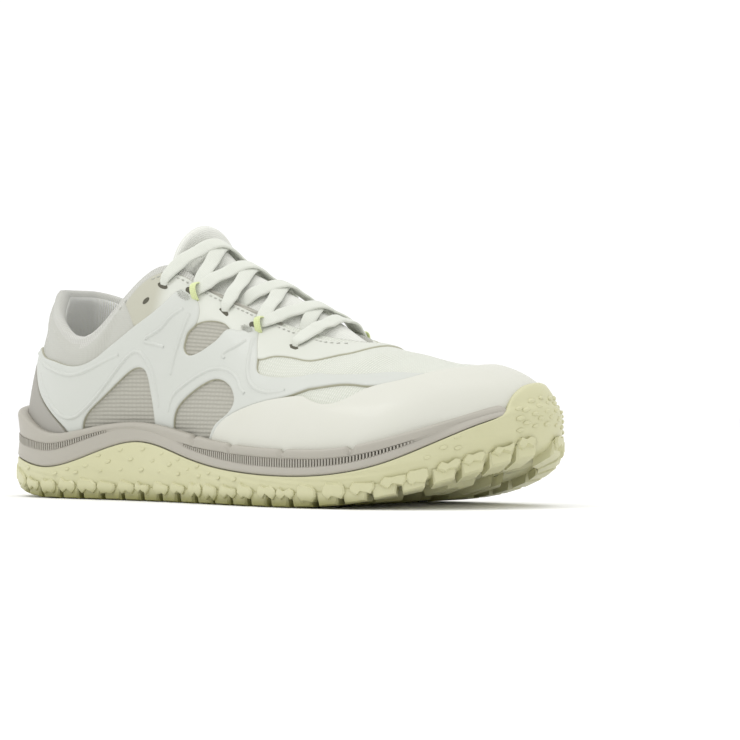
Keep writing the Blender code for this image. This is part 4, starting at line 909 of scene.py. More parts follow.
covered = sole.each(drawn_in)
cup = RUBBER_WALL + 0.0004
foam_low = sole.rubber + 0.00015
notch = sum(np.maximum(1 - np.abs(sole.x - x) / NOTCH_WIDE, 0) for x in RIM_NOTCHES)
foam_high = sole.foam - NOTCH_DEEP * notch * (1 - covered)
foam_high = foam_high + (foam_low + 0.0004 - foam_high) * covered
groove_x, groove_height, groove_half_height = np.array(GROOVE).T
groove_at = np.interp(sole.x, groove_x, groove_height)
groove_half = np.interp(sole.x, groove_x, groove_half_height)
groove_depth = GROOVE_DEEP * smooth(groove_half, 0.0001, 0.0010)
side_height = np.maximum((sole.foam - foam_low) * (1 - covered), 0.0004)
middle = foam_low + side_height * groove_at


def foam_ring(inset, z):
    """A ring of the foam's side, which leans in with the upper over the toes."""
    share = smooth(sole.x / LENGTH, 0.90, 0.955) * smooth(z, sole.rubber, sole.rubber + 0.005)
    lean = np.maximum(sole.off_form(z, 0.0030), 0) * share
    lean = lean + 0.0008 * np.sin(np.pi * np.clip((z - foam_low) / side_height, 0, 1)) ** 2
    return sole.wall((inset + lean) * (1 - covered) + (cup + 0.0006) * covered, z)


rings = [
    sole.floor_ring(side_inset(sole, sole.floor + SOLE_UNDER) + cup + 0.0024, 0.0062),
    sole.wall(side_inset(sole, sole.floor + 0.008) + cup + 0.0006, sole.floor + 0.0084),
    sole.wall(side_inset(sole, foam_low) + cup + 0.0005 * covered, foam_low),
]
for rise, inset in SIDE_FOOT:
    rings.append(foam_ring(inset, (foam_low + rise) * (1 - covered) + foam_low * covered))
groove_rings = []
for share, depth in GROOVE_STEPS:
    z = middle + share * (groove_half + GROOVE_MARGIN)
    z = np.clip(z, foam_low + 0.0014, foam_high - 0.0022)
    if depth:
        groove_rings.append(len(rings))
    rings.append(foam_ring(groove_depth * depth, z * (1 - covered) + foam_low * covered))
for drop, inset in RIM_STEPS:
    rings.append(foam_ring(inset + 0.0010 * notch, foam_high - drop * (1 - covered)))
rim_inner = sole.off_form(foam_high, FOAM_OFF_FORM)
rings += [
    sole.wall(np.maximum(rim_inner - 0.0006, 0.0014), foam_high + 0.00005),
    sole.wall(np.maximum(rim_inner, 0.0018), foam_high - 0.0005),
    sole.wall(sole.off_form(sole.foam - 0.006, FOAM_OFF_FORM), sole.foam - 0.006),
    sole.floor_ring(sole.off_form(board(sole.x), FOAM_OFF_FORM), STACK - 0.0004),
    sole.floor_ring(0.02, STACK - 0.0004),
]
# Painted shade on the groove's floor, laid through the "edge" attribute; it is paler round the heel
deep = np.full((len(rings), sole.count), 0.01)
shown = np.clip((groove_half - GROOVE_MARGIN) / 0.0006, 0, 1) * (1 - covered)
shown = shown * (0.20 + 0.80 * smooth(sole.x, 0.06, 0.12))
deep[groove_rings] = 0.0006 * (1 - shown)
points, faces = sealed(rings)
midsole = make_mesh("midsole_foam", points, faces, [grooved_foam], None, {"edge": deep.ravel()}, weld=1e-7)
settle(midsole, "foam", "midsole")

# Fine upright ribs in the groove
RIB_PITCH, RIB_WIDE, RIB_DEEP = 0.00135, 0.00062, 0.0026
rows = []
for side in (LATERAL, MEDIAL):
    shares = np.arange(0.004, 0.985, RIB_PITCH / HALVES[side][3])
    p, outward = outline(side, shares)
    x = p[:, 0]
    low, high = sole_heights(side, x)
    half = np.interp(x, groove_x, groove_half_height)
    shown = (half > 0.0004) & (drawn_in(side, shares) < 0.02)
    z = low + (high - low) * np.interp(x, groove_x, groove_height)
    row = (
        np.column_stack([p - outward * 0.0018, z]),
        np.column_stack([-outward[:, 1], outward[:, 0], 0 * x]),
        np.column_stack([outward, 0 * x]),
        np.column_stack([0 * x + RIB_WIDE, half * 1.5 + 0.0003, 0 * x + RIB_DEEP]),
    )
    rows.append([column[shown] for column in row])
repeated("groove_ribs", BLOCKS, rows, eva_foam, "foam")

# ------------------------------------------------------------------ outsole
bumper_line = spline([r[0] for r in TOE_BUMPER], [r[1] for r in TOE_BUMPER])
bumper = sole.each(lambda side, t: np.clip(bumper_line((1 - t) * side)[:, 0], 0, 1))
wall_top = sole.rubber + (BUMPER_TOP - sole.rubber) * bumper


def rubber_inset(z, out):
    """How far in the rubber wall stands: on its profile below its top, off the upper over the toe."""
    share = smooth(z, sole.rubber, sole.rubber + 0.004)
    return side_inset(sole, z) * (1 - share) + sole.off_form(z, out) * share


OUTER = OFF_BUMPER + RUBBER_WALL    # how far the rubber's outer side stands off the upper over the toe
rings = [sole.floor_ring(inset, LUG_DEPTH) for inset in (0.03, 0.0100, 0.0032)]
for height, inset in ((0.0037, 0.0018), (0.0046, 0.0013), (0.0060, 0.0008)):
    rings.append(sole.wall(inset, sole.floor + height))
turn = sole.floor + 0.008
for lift in np.linspace(0, 1, 15):
    z = turn + (wall_top - 0.0004 - turn) * lift
    ripple = 0.00012 * np.sin(sole.run / 0.0045 + 9 * lift) * np.sin(np.pi * lift)
    rings.append(sole.wall(rubber_inset(z, OUTER) + ripple, z))
top_inset = rubber_inset(wall_top, OUTER)
low_wall = np.minimum(sole.rubber - 0.001, wall_top - 0.001)
rings += [
    sole.wall(top_inset + 0.0003, wall_top - 0.0001),
    sole.wall(top_inset + 0.0007, wall_top),
    sole.wall(np.maximum(rubber_inset(wall_top, FOAM_OFF_FORM), top_inset + 0.0012), wall_top - 0.0003),
    sole.wall(side_inset(sole, low_wall) + RUBBER_WALL, low_wall),
    sole.floor_ring(side_inset(sole, sole.floor + SOLE_UNDER) + RUBBER_WALL + 0.0016, SOLE_UNDER),
    sole.floor_ring(0.02, SOLE_UNDER),
]
points, faces = sealed(rings)
settle(make_mesh("outsole_rubber", points, faces, [lime_rubber], weld=1e-7), "rubber", "outsole")

# The edge: set-in lugs with narrow slits, below ragged chips that stand out over them
EDGE_SPAN = (0.012, 0.986)    # shares of the run round the sole
EDGE_LUGS, EDGE_LUG_TALL, EDGE_LUG_REACH = 26, 0.0056, 0.0095
CHIPS, CHIP_REACH = 27, 0.0040
CHIP_FRONT = np.array([2, 2, 1, 2, 0, -1, -5, -4, -6, -4, -1]) * 0.0001
# Lugs under the foot: share of LENGTH, how many, their middle and half spread (shares of BALL_WIDTH)
LUG_ROWS = (
    (0.125, 2, 0.00, 0.100), (0.220, 2, 0.00, 0.130), (0.315, 2, 0.00, 0.100),
    (0.410, 2, -0.01, 0.130), (0.505, 3, -0.03, 0.200), (0.600, 3, -0.03, 0.240),
    (0.695, 4, -0.02, 0.280), (0.790, 3, 0.00, 0.240), (0.875, 2, 0.05, 0.120),
)
LUG_HALF, LUG_POINT, LUG_SLIT = (0.0070, 0.0060), 0.0022, 0.0007    # half size, chevron, half slit
LUG_TAPER = ((1.06, LUG_DEPTH + 0.0004), (1.0, LUG_DEPTH * 0.6), (0.90, 0.0003), (0.84, 0.0))
jitter = np.random.default_rng(5)
points, faces = [], []


def prism(rows):
    """Adds a block through rows of corners, closed at both ends, with its faces outwards."""
    start, m = len(points), len(rows[0])
    for row in rows:
        points.extend(np.asarray(row))
    faces.extend(between(len(rows), m, start))
    faces.append(tuple(start + i for i in range(m))[::-1])
    faces.append(tuple(start + (len(rows) - 1) * m + i for i in range(m)))


def on_side(side, shares, inset, height):
    """Points beside the sole's side: shares of the run, distances in from the outline, heights."""
    p, _ = outline(side, shares, -np.asarray(inset))
    return np.column_stack([p, ground(p[:, 0]) + height])


def edge_block(side, share, up, front, back, ridge):
    """A block beside the sole: its outline in share of run and height, how far its face stands
    out, how far in it reaches, and a raised facet (share, height, out) inside its face."""
    level = np.full(len(share), -ridge[2])
    foot = on_side(side, share, np.full(len(share), back), np.minimum(up, 0.0042))
    rows = [foot, on_side(side, share, -front, up)]
    for wide, tall in ((0.86, 0.80), (0.04, 0.04)):    # the facet's rim, and its middle
        along = ridge[0] + (share - ridge[0]) * wide
        rows.append(on_side(side, along, level, ridge[1] + (up - ridge[1]) * tall))
    prism(rows if side == LATERAL else [row[::-1] for row in rows])


def chip(side, pitch, k):
    """One ragged chip, drawn from its lower heel corner round to its upper heel corner."""
    vary = jitter.uniform(-1, 1, 14)
    flat = 1 - 0.35 * smooth(np.array((k + 0.5) / CHIPS), 0.72, 0.90)    # lower towards the toe
    a = EDGE_SPAN[0] + pitch * (k + 0.06 + 0.10 * vary[0])
    width = pitch * (0.88 + 0.10 * vary[1])
    share = a + width * np.array([
        0.14, 0.30, 0.50 + 0.10 * vary[2], 0.84, 1.0, 0.97, 0.74 + 0.08 * vary[3], 0.42, 0.16, 0.02, 0.0,
    ])
    low, tall = 0.0026 + 0.0008 * vary[4], (0.0090 + 0.0010 * vary[5]) * (0.55 + 0.45 * flat)
    up = np.array([
        low + 0.0012, low, low + 0.0012 + 0.0009 * vary[6], low + 0.0003 * vary[7], low + 0.0020, 0.0066,
        tall * (0.90 + 0.09 * vary[8]), tall * (0.86 + 0.09 * vary[9]), tall, tall * 0.80, 0.0050,
    ])
    out = 0.0005 + 0.0002 * vary[12] + 0.0013 * (1 - flat)
    ridge = (a + width * (0.5 + 0.06 * vary[10]), 0.0054 + 0.0004 * vary[11], out)
    edge_block(side, share, up, CHIP_FRONT, CHIP_REACH, ridge)


for side in (LATERAL, MEDIAL):
    pitch = (EDGE_SPAN[1] - EDGE_SPAN[0]) / EDGE_LUGS
    for k in range(EDGE_LUGS):
        a = EDGE_SPAN[0] + pitch * (k + 0.05 + 0.03 * jitter.uniform(-1, 1))
        b = EDGE_SPAN[0] + pitch * (k + 0.92 + 0.03 * jitter.uniform(-1, 1))
        share = np.array([a + 0.08 * pitch, b - 0.06 * pitch, b, a])
        up = np.array([0.0001, 0.0001, EDGE_LUG_TALL, EDGE_LUG_TALL])
        front = np.array([-0.0022, -0.0022, -0.0002, -0.0002])
        edge_block(side, share, up, front, EDGE_LUG_REACH, ((a + b) / 2, 0.0030, -0.0006))
    for k in range(CHIPS):
        chip(side, (EDGE_SPAN[1] - EDGE_SPAN[0]) / CHIPS, k)
for share, count, middle_, half in LUG_ROWS:
    for k in range(count):
        y = middle_ + (2 * half * (k / (count - 1)) - half)
        a, b = LUG_HALF
        point = LUG_POINT if k % 2 else -LUG_POINT
        for cut in (-1, 1):
            shape = np.array([(-a, -b), (a + point, -b), (a - point, b), (-a - point, b)])
            shape[shape[:, 1] * cut < 0, 1] = LUG_SLIT * cut
            corners = shape + (share * LENGTH, y * BALL_WIDTH)
            centre = corners.mean(axis=0)
            rows = []
            for scale, height in LUG_TAPER:
                flat = centre + (corners - centre) * scale
                rows.append(np.column_stack([flat, ground(flat[:, 0]) + height]))
            prism([row[::-1] for row in rows])
lugs = make_mesh("outsole_lugs", points, faces, [lime_rubber], weld=1e-8)
lugs.data.set_sharp_from_angle(angle=math.radians(14))
settle(lugs, "rubber")

# Small raised nubs on the rubber's side and over the toe
SIDE_NUB, TOE_NUB = (0.0030, 0.0014, 0.0006), (0.0036, 0.0017, 0.0013)
SIDE_NUB_SPACING, TOE_NUB_SPACING = 0.0400, 0.0230    # shares of the run
nubs = []
for side in (LATERAL, MEDIAL):
    for row, lift in enumerate((0.22, 0.52, 0.82)):
        shares = np.arange(0.03 + 0.020 * (row % 2), 0.90, SIDE_NUB_SPACING)
        shares = shares + jitter.uniform(-0.004, 0.004, len(shares))
        p, outward = outline(side, shares)
        low = ground(p[:, 0]) + 0.0095
        room = sole_heights(side, p[:, 0])[0] - low
        z = low + room * lift
        keep = (room * (1 - lift) > 0.0011) & (room > 0.0035)
        keep &= jitter.uniform(0, 1, len(shares)) < 0.85
        nub = (
            np.column_stack([p + outward * 0.00005, z]),
            np.column_stack([-outward[:, 1], outward[:, 0], 0.25 + 0 * z]),
            np.column_stack([outward, 0 * z]),
            np.broadcast_to(SIDE_NUB, (len(z), 3)),
        )
        nubs.append([column[keep] for column in nub])
toe = sole.each(lambda side, t: (1 - t) * side)
for row, lift in enumerate((0.16, 0.33, 0.50, 0.67, 0.82)):
    for q in np.arange(-0.045 + 0.010 * (row % 2), 0.105, TOE_NUB_SPACING):
        i = int(np.argmin(np.abs(toe - q)))
        if bumper[i] < 0.45:
            continue
        low = sole.floor[i] + 0.009
        z = low + (wall_top[i] - 0.003 - low) * (lift + jitter.uniform(-0.02, 0.02))
        side, t = int(sole.side[i]), np.array([sole.t[i]])
        p, outward = outline(side, t)
        share = smooth(z, sole.rubber[i], sole.rubber[i] + 0.004)
        inset = form_inset(side, t, [z], OUTER)[0] * share
        lean = (form_inset(side, t, [z + 0.002], OUTER)[0] - inset) / 0.002 * share
        normal = np.array([outward[0, 0], outward[0, 1], max(lean, 0.0)])
        nubs.append((
            np.array([[*(p[0] - outward[0] * inset), z]]), np.array([[-outward[0, 1], outward[0, 0], 0.2]]),
            normal[None] / np.linalg.norm(normal), np.array([TOE_NUB]),
        ))
repeated("rubber_nubs", PEBBLES, nubs, lime_rubber, "rubber", 0.2, 7)

# ------------------------------------------------------------------ insole
fine = Loop(120)
inset = FEATHER_INSET + UPPER_WALL + 0.0006
rings = [fine.floor_ring(inset + 0.02, STACK + 0.0005), fine.floor_ring(inset + 0.0004, STACK + 0.0005)]
for extra, height in ((0.0, 0.0022), (0.0002, 0.0032), (0.0008, 0.0037), (0.0022, 0.0038), (0.016, 0.0037)):
    rings.append(fine.floor_ring(inset + extra, STACK + height))
points, faces = sealed(rings)
insole = make_mesh("insole_sheet", points, faces, [lining_knit], points[:, :2], weld=1e-7)
settle(insole, "insole_fabric", "insole")


# ------------------------------------------------------------------ upper
def collar(x, w):
    """1 in the padded collar round the ankle, and 0 elsewhere."""
    return smooth(0.315 - x / LENGTH, 0.0, 0.07) * smooth(w, 0.52, 0.80)


shell = Loop(170)
pad = collar(shell.x, 1.0)


def shell_ring(w, out):
    """A ring on the upper's form, moved out."""
    return shell.each(skin, w + 0 * shell.x, out + 0 * shell.x)


OUTER_ROWS = np.r_[np.linspace(0, 0.9, 24), 0.93, 0.955, 0.975, 0.99, 1.0]    # shares up the rib
EDGE_ROWS = (0.12, 0.30, 0.50, 0.70, 0.88)    # shares of the way over the top edge
INNER_ROWS = (1.0, 0.975, 0.94, 0.88, 0.80, 0.70, 0.58, 0.44, 0.30, 0.15, 0.0)
rings, shares = [], []
for w in OUTER_ROWS:
    puff = 0.0009 * pad * np.sin(np.pi * np.clip((w - 0.80) / 0.20, 0, 1)) if w > 0.8 else 0.0
    rings.append(shell_ring(w, puff))
    shares.append(w)
edge_out, edge_in = rings[-1], shell_ring(1.0, -(UPPER_WALL + COLLAR_PAD * pad))
crown = 0.0004 + 0.0034 * pad
for s in EDGE_ROWS:
    ring = edge_out + (edge_in - edge_out) * (0.5 - 0.5 * math.cos(math.pi * s))
    ring[:, 2] += crown * math.sin(math.pi * s) ** 0.8
    rings.append(ring)
    shares.append(1.0 + 0.02 * s)
for w in INNER_ROWS:
    rings.append(shell_ring(w, -UPPER_WALL - COLLAR_PAD * collar(shell.x, w)))
    shares.append(1.02 + (1.0 - w))
n, top_row = shell.count, len(OUTER_ROWS) - 1
# Ahead of the throat the two sides meet on the spine
for k, ring in enumerate(rings[top_row:]):
    for i in range(shell.throat, shell.steps + 1):
        j = (n - i) % n
        if k == 0 or abs(ring[i][1] - ring[j][1]) < 0.0006:
            ring[i] = ring[j] = (ring[i] + ring[j]) / 2
climb = [rings[0][:, 2]]
for below, above in zip(rings, rings[1:]):
    climb.append(climb[-1] + np.linalg.norm(above - below, axis=1))
uv = []
for ring, up, w in zip(rings, climb, shares):    # the vamp's cloth lies flat over the toes
    vamp = (shell.t > 0.52) | ((shell.x / LENGTH > 0.55) & (w > 0.69))
    uv.append(np.where(vamp[:, None], ring[:, :2], np.column_stack([shell.t * HALVES[LATERAL][3], up])))
MESH, COLLAR, BINDING, LINING, VAMP = range(5)


def fabric(k, t, x, w):
    """Which cloth the upper is made of between two rows, at a station."""
    if k >= top_row + len(EDGE_ROWS):
        return LINING
    if k >= top_row or (0.20 < x < 0.40 and w > 0.95):
        return BINDING
    if x < 0.34 and w > 0.63:
        return COLLAR
    return VAMP if t > 0.525 or (x > 0.56 and w > 0.70) else MESH


faces, picks = [], []
for k in range(len(rings)):
    lower, above = k * n, ((k + 1) % len(rings)) * n
    for i in range(n):
        j = (i + 1) % n
        shut = shell.throat <= min(i, j) and max(i, j) <= n - shell.throat
        if not (shut and top_row <= k <= top_row + len(EDGE_ROWS)):
            faces.append((lower + i, lower + j, above + j, above + i))
            picks.append(fabric(k, shell.t[i], shell.x[i] / LENGTH, shares[k]))
upper = make_mesh(
    "upper_knit", np.vstack(rings), faces, [side_mesh, collar_knit, binding_knit, lining_knit, vamp_mesh],
    np.vstack(uv), None, picks, 2e-6,
)
settle(upper, "knit", "upper")

# ------------------------------------------------------------------ films on the upper
ROUND_CHART = (0.290, 0.080)
OVER_CHART = (0.260, 0.080)


TUCK = 0.0030    # how far below the foam rim's top a film ends


def tuck(u):
    """Shares up the ribs at which a film goes behind the foam rim."""
    u = np.asarray(u, float)
    t = np.where(u < 0, -u, np.where(u > 1, 2 - u, u))
    found = np.empty(len(u))
    for k, side in enumerate(np.where((u < 0) | (u > 1), MEDIAL, LATERAL)):
        x = outline(side, t[k])[0][0]
        top = sole_heights(side, x)[1] - TUCK
        found[k] = max(share_at_height(side, t[k : k + 1], [top])[0], 0.03)
    return found


def tucked_run(first, last, count):
    """The lower edge of a film, behind the foam rim."""
    u = np.linspace(first, last, count)
    return np.column_stack([u, tuck(u)])


def on_foam(rows):
    """Rows of the round chart, with the ends marked None put behind the foam rim."""
    return [(u, tuck([u])[0] if w is None else w) for u, w in rows]


# Outlines on the round chart, as share of run and share up the rib, by the parts they border


COUNTER_TOP = (
    (0.208, None), (0.194, 0.300), (0.178, 0.353), (0.153, 0.417), (0.128, 0.477), (0.095, 0.556),
    (0.050, 0.592), (0.000, 0.602),
)
lateral_top = on_foam(COUNTER_TOP)
runs = [tucked_run(-0.208, 0.208, 25), lateral_top + [(-u, w) for u, w in lateral_top[-2::-1]]]
counter = film_panel("heel_counter_film", around, ROUND_CHART, chart_loop(runs, ROUND_CHART), counter_film)
settle(counter, "film", "heel_counter")

# Eyestay: share of LENGTH, share down the rib from the top edge
EYESTAY_REAR = ((0.284, 0.066), (0.288, 0.100), (0.295, 0.155), (0.302, 0.215), (0.311, 0.290))
EYESTAY_OUT = (
    (0.311, 0.290), (0.325, 0.335), (0.345, 0.335), (0.365, 0.300), (0.385, 0.268), (0.405, 0.268),
    (0.419, 0.290), (0.430, 0.268), (0.439, 0.240), (0.452, 0.212), (0.468, 0.195), (0.482, 0.196),
    (0.492, 0.214), (0.508, 0.256), (0.528, 0.300), (0.550, 0.330), (0.567, 0.330), (0.577, 0.310),
    (0.586, 0.288), (0.600, 0.272), (0.618, 0.266), (0.644, 0.276), (0.668, 0.286), (0.688, 0.264),
    (0.703, 0.208), (0.711, 0.120), (0.714, 0.000),
)
EYESTAY_IN = (
    (0.284, 0.066), (0.325, 0.060), (0.360, 0.050), (0.400, 0.034), (0.480, 0.030), (0.560, 0.035),
    (0.625, 0.045), (0.660, 0.060), (0.680, 0.070),
)
EYESTAY_FRONT = ((0.680, 0.070), (0.690, 0.050), (0.6955, 0.000), (0.690, -0.050), (0.680, -0.070))


def across_spine(rows):
    """The same run on the other side."""
    return [(x, -v) for x, v in rows]


runs = [
    across_spine(EYESTAY_REAR),
    across_spine(EYESTAY_OUT),
    EYESTAY_OUT[::-1],
    EYESTAY_REAR[::-1],
    EYESTAY_IN,
    EYESTAY_FRONT,
    across_spine(EYESTAY_IN[::-1]),
]
eyestay = film_panel(
    "eyestay_film", across, OVER_CHART, chart_loop(runs, OVER_CHART), eyestay_film, EYESTAY_FILM
)
settle(eyestay, "film", "eyestay")

CAGE_COUNTER = (
    (0.000, 0.608), (0.050, 0.598), (0.097, 0.561), (0.131, 0.480), (0.156, 0.420),
    (0.181, 0.356), (0.204, 0.276), (0.2095, None),
)
CAGE_COLLAR = (
    (0.375, 0.860), (0.357, 0.752), (0.337, 0.699), (0.317, 0.689), (0.305, 0.698), (0.279, 0.749),
    (0.250, 0.800), (0.214, 0.818), (0.169, 0.765), (0.130, 0.715), (0.100, 0.690), (0.050, 0.676),
    (0.000, 0.670),
)
CAGE_REAR_OPENING = (
    (0.236, None), (0.236, 0.350), (0.247, 0.425), (0.275, 0.462), (0.305, 0.463), (0.332, 0.463),
    (0.343, 0.448), (0.350, 0.410), (0.355, 0.350), (0.360, 0.280), (0.364, None),
)
CAGE_FRONT_OPENING = (
    (0.402, None), (0.404, 0.270), (0.416, 0.330), (0.433, 0.385), (0.457, 0.450), (0.475, 0.480),
    (0.493, 0.474), (0.508, 0.434), (0.514, 0.380), (0.507, 0.315), (0.486, 0.245), (0.472, None),
)
CAGE_RAND = (
    (0.480, None), (0.494, 0.232), (0.516, 0.306), (0.548, 0.370), (0.590, 0.420), (0.625, 0.442),
    (0.657, 0.476), (0.692, 0.520), (0.725, 0.530), (0.765, 0.586), (0.800, 0.646),
)
CAGE_VAMP = (
    (0.800, 0.662), (0.770, 0.680), (0.738, 0.680), (0.693, 0.610), (0.655, 0.568), (0.612, 0.575),
    (0.575, 0.575), (0.552, 0.574), (0.538, 0.592), (0.532, 0.640), (0.525, 0.710), (0.515, 0.799),
    (0.510, 0.862),
)
CAGE_FRONT_TIP = ((0.510, 0.862), (0.504, 0.884), (0.497, 0.872))
CAGE_TOP_OPENING = (
    (0.497, 0.872), (0.491, 0.835), (0.482, 0.802), (0.471, 0.794), (0.463, 0.772), (0.457, 0.715),
    (0.444, 0.643), (0.425, 0.580), (0.414, 0.569), (0.4075, 0.590), (0.407, 0.630), (0.4085, 0.677),
    (0.4140, 0.715), (0.4185, 0.755), (0.4185, 0.795), (0.4165, 0.830), (0.412, 0.862),
)
CAGE_REAR_TIP = ((0.412, 0.862), (0.405, 0.886), (0.392, 0.893), (0.381, 0.886), (0.375, 0.860))


def cage(name, side, node):
    """The side's film, drawn on the lateral half of the chart, then put on its side."""
    heel = 0.0004
    counter_edge = [(max(u, heel), w) for u, w in on_foam(CAGE_COUNTER)]
    collar_edge = [(max(u, heel), w) for u, w in CAGE_COLLAR]
    runs = [
        counter_edge,
        tucked_run(0.2095, 0.236, 4),
        on_foam(CAGE_REAR_OPENING),
        tucked_run(0.364, 0.402, 4),
        on_foam(CAGE_FRONT_OPENING),
        tucked_run(0.472, 0.480, 2),
        on_foam(CAGE_RAND),
        [CAGE_RAND[-1], CAGE_VAMP[0]],
        CAGE_VAMP,
        CAGE_FRONT_TIP,
        CAGE_TOP_OPENING,
        CAGE_REAR_TIP,
        collar_edge,
        [collar_edge[-1], counter_edge[0]],
    ]
    loop = chart_loop(runs, ROUND_CHART)
    if side == MEDIAL:
        loop = np.column_stack([2 - loop[:, 0], loop[:, 1]])
    settle(film_panel(name, around, ROUND_CHART, loop, cage_film), "film", node)


cage("side_film_lateral", LATERAL, "side_cage_lateral")
cage("side_film_medial", MEDIAL, "side_cage_medial")

RAND_TOP = (
    (0.477, None), (0.491, 0.236), (0.514, 0.311), (0.546, 0.375), (0.586, 0.423), (0.620, 0.424),
    (0.650, 0.388), (0.678, 0.373), (0.700, 0.413), (0.722, 0.506), (0.763, 0.588), (0.810, 0.654),
    (0.880, 0.702), (0.950, 0.717), (1.000, 0.720),
)
top_edge = on_foam(RAND_TOP)
top_edge += [(2 - u, w) for u, w in top_edge[-2::-1]]
runs = [tucked_run(1.523, 0.477, 61), top_edge]
rand = film_panel("toe_rand_film", around, ROUND_CHART, chart_loop(runs, ROUND_CHART), rand_film, RAND_FILM)
settle(rand, "rand_film", "toe_rand")

# Welded ridges in the side film: points as share of run and share up the rib
RIDGES = (
    ((0.020, 0.640), (0.075, 0.645), (0.117, 0.672), (0.160, 0.690), (0.205, 0.737), (0.241, 0.746),
     (0.274, 0.680), (0.300, 0.600)),
    ((0.128, 0.600), (0.150, 0.520), (0.175, 0.430), (0.200, 0.392), (0.220, 0.405), (0.240, 0.455),
     (0.270, 0.515), (0.305, 0.545), (0.328, 0.545), (0.345, 0.500), (0.360, 0.430), (0.369, 0.340),
     (0.373, 0.270)),
    ((0.391, 0.270), (0.397, 0.340), (0.415, 0.405), (0.446, 0.490), (0.466, 0.530), (0.488, 0.545),
     (0.509, 0.520), (0.523, 0.460), (0.535, 0.435)),
    ((0.403, 0.777), (0.401, 0.700), (0.398, 0.620), (0.394, 0.520), (0.391, 0.430)),
    ((0.393, 0.790), (0.374, 0.690), (0.358, 0.621), (0.341, 0.582), (0.352, 0.570), (0.378, 0.561)),
    ((0.499, 0.755), (0.486, 0.680), (0.474, 0.612), (0.482, 0.600)),
    ((0.508, 0.784), (0.516, 0.658), (0.524, 0.567), (0.542, 0.489), (0.566, 0.462), (0.605, 0.480)),
)
RIDGE_HALF = 0.0011
RIDGE_SECTION = (    # shares of the half width across, heights
    (-1, -0.00025), (-0.55, 0.00030), (-0.18, 0.00060), (0.18, 0.00060), (0.55, 0.00030), (1, -0.00025),
)


def ridges(name, side):
    """Low rounded ridges pressed into the side film."""
    points, faces = [], []
    for run in RIDGES:
        line = spread(np.array(run) * CHART, 0.0012) / CHART
        u = line[:, 0] if side == LATERAL else 2 - line[:, 0]
        p = around(u, line[:, 1], FILM)
        n = facing(around, u, line[:, 1])[2]
        wide = np.cross(n, heading(p))
        fade = np.sin(np.pi * np.linspace(0.03, 0.97, len(p))) ** 0.35
        rows = [
            p + wide * RIDGE_HALF * share + n * (up * fade - 0.0001 * (1 - fade))[:, None]
            for share, up in RIDGE_SECTION
        ]
        faces += between(len(p), len(rows), len(points), False)
        points.extend(np.stack(rows, 1).reshape(-1, 3))
    obj = make_mesh(name, points, faces, [cage_film], attributes={"edge": np.full(len(points), 0.01)})
    if side == LATERAL:
        obj.data.flip_normals()
    settle(obj, "film")


ridges("film_ridges_lateral", LATERAL)
ridges("film_ridges_medial", MEDIAL)


# ------------------------------------------------------------------ tongue
def edge_row(side, x):
    """Height, distance from the spine and slope of the upper's top edge at the lengths x."""
    row = UPPER[side](np.asarray(x, float) / LENGTH)
    reach = np.maximum(row[..., 1], 0.02) * BALL_WIDTH
    return row[..., 0] * INSTEP_HEIGHT, reach, np.tan(np.radians(np.maximum(row[..., 2], 0)))


THROAT_CROWN, CROWN_LEAN = 0.0050, 0.35    # bulge of the padded tongue and how far it leans inwards


def crown_over(x, q):
    """Bulge of the tongue and laces: q is -1 at the outer edge of the throat and 1 at the inner."""
    fade = smooth(0.72 - x / LENGTH, 0.0, 0.14)
    return THROAT_CROWN * fade * np.clip(1 - q**2, 0, 1) * (1 + CROWN_LEAN * q)


def bridge(x, y):
    """Height of a skin that carries the upper's slope over the throat from edge to edge, and how
    far each point is inside its edge."""
    x, y = np.broadcast_arrays(np.asarray(x, float), np.asarray(y, float))
    middle = spine(x)[..., 1]
    r = np.abs(y - middle)
    tops, margins = [], []
    for side in (LATERAL, MEDIAL):
        z3, r3, slope = edge_row(side, x)
        steps = np.linspace(0.4, 1, 41)
        ribs = rib(side, share_at_x(side, x)[..., None], steps)
        reach = np.hypot(ribs[..., 0] - spine(x)[..., None, 0], ribs[..., 1] - middle[..., None])
        down = np.empty(x.shape)
        for i in np.ndindex(x.shape):
            down[i] = np.interp(r[i], reach[i][::-1], ribs[i][::-1, 2])
        over = z3 + 0.5 * r3 * slope - r**2 * slope / (2 * r3)
        over = over + crown_over(x, np.clip((y - middle) / r3, -1, 1))
        tops.append(np.where(r < r3, over, down))
        margins.append(r3 - r)
    left = smooth((y - middle) / 0.004, -1, 1)
    return tops[0] * (1 - left) + tops[1] * left, margins[0] * (1 - left) + margins[1] * left


# The tongue's rows: share of LENGTH, lift over the upper's slope, reach past the throat's edge
TONGUE_ROWS = (
    (0.706, -0.0034, 0.013), (0.688, -0.0034, 0.010), (0.665, -0.0033, 0.006), (0.625, -0.0031, 0.004),
    (0.570, -0.0031, 0.003), (0.515, -0.0033, 0.002), (0.460, -0.0036, 0.001), (0.415, -0.0040, -0.001),
    (0.385, -0.0038, -0.0030),
)
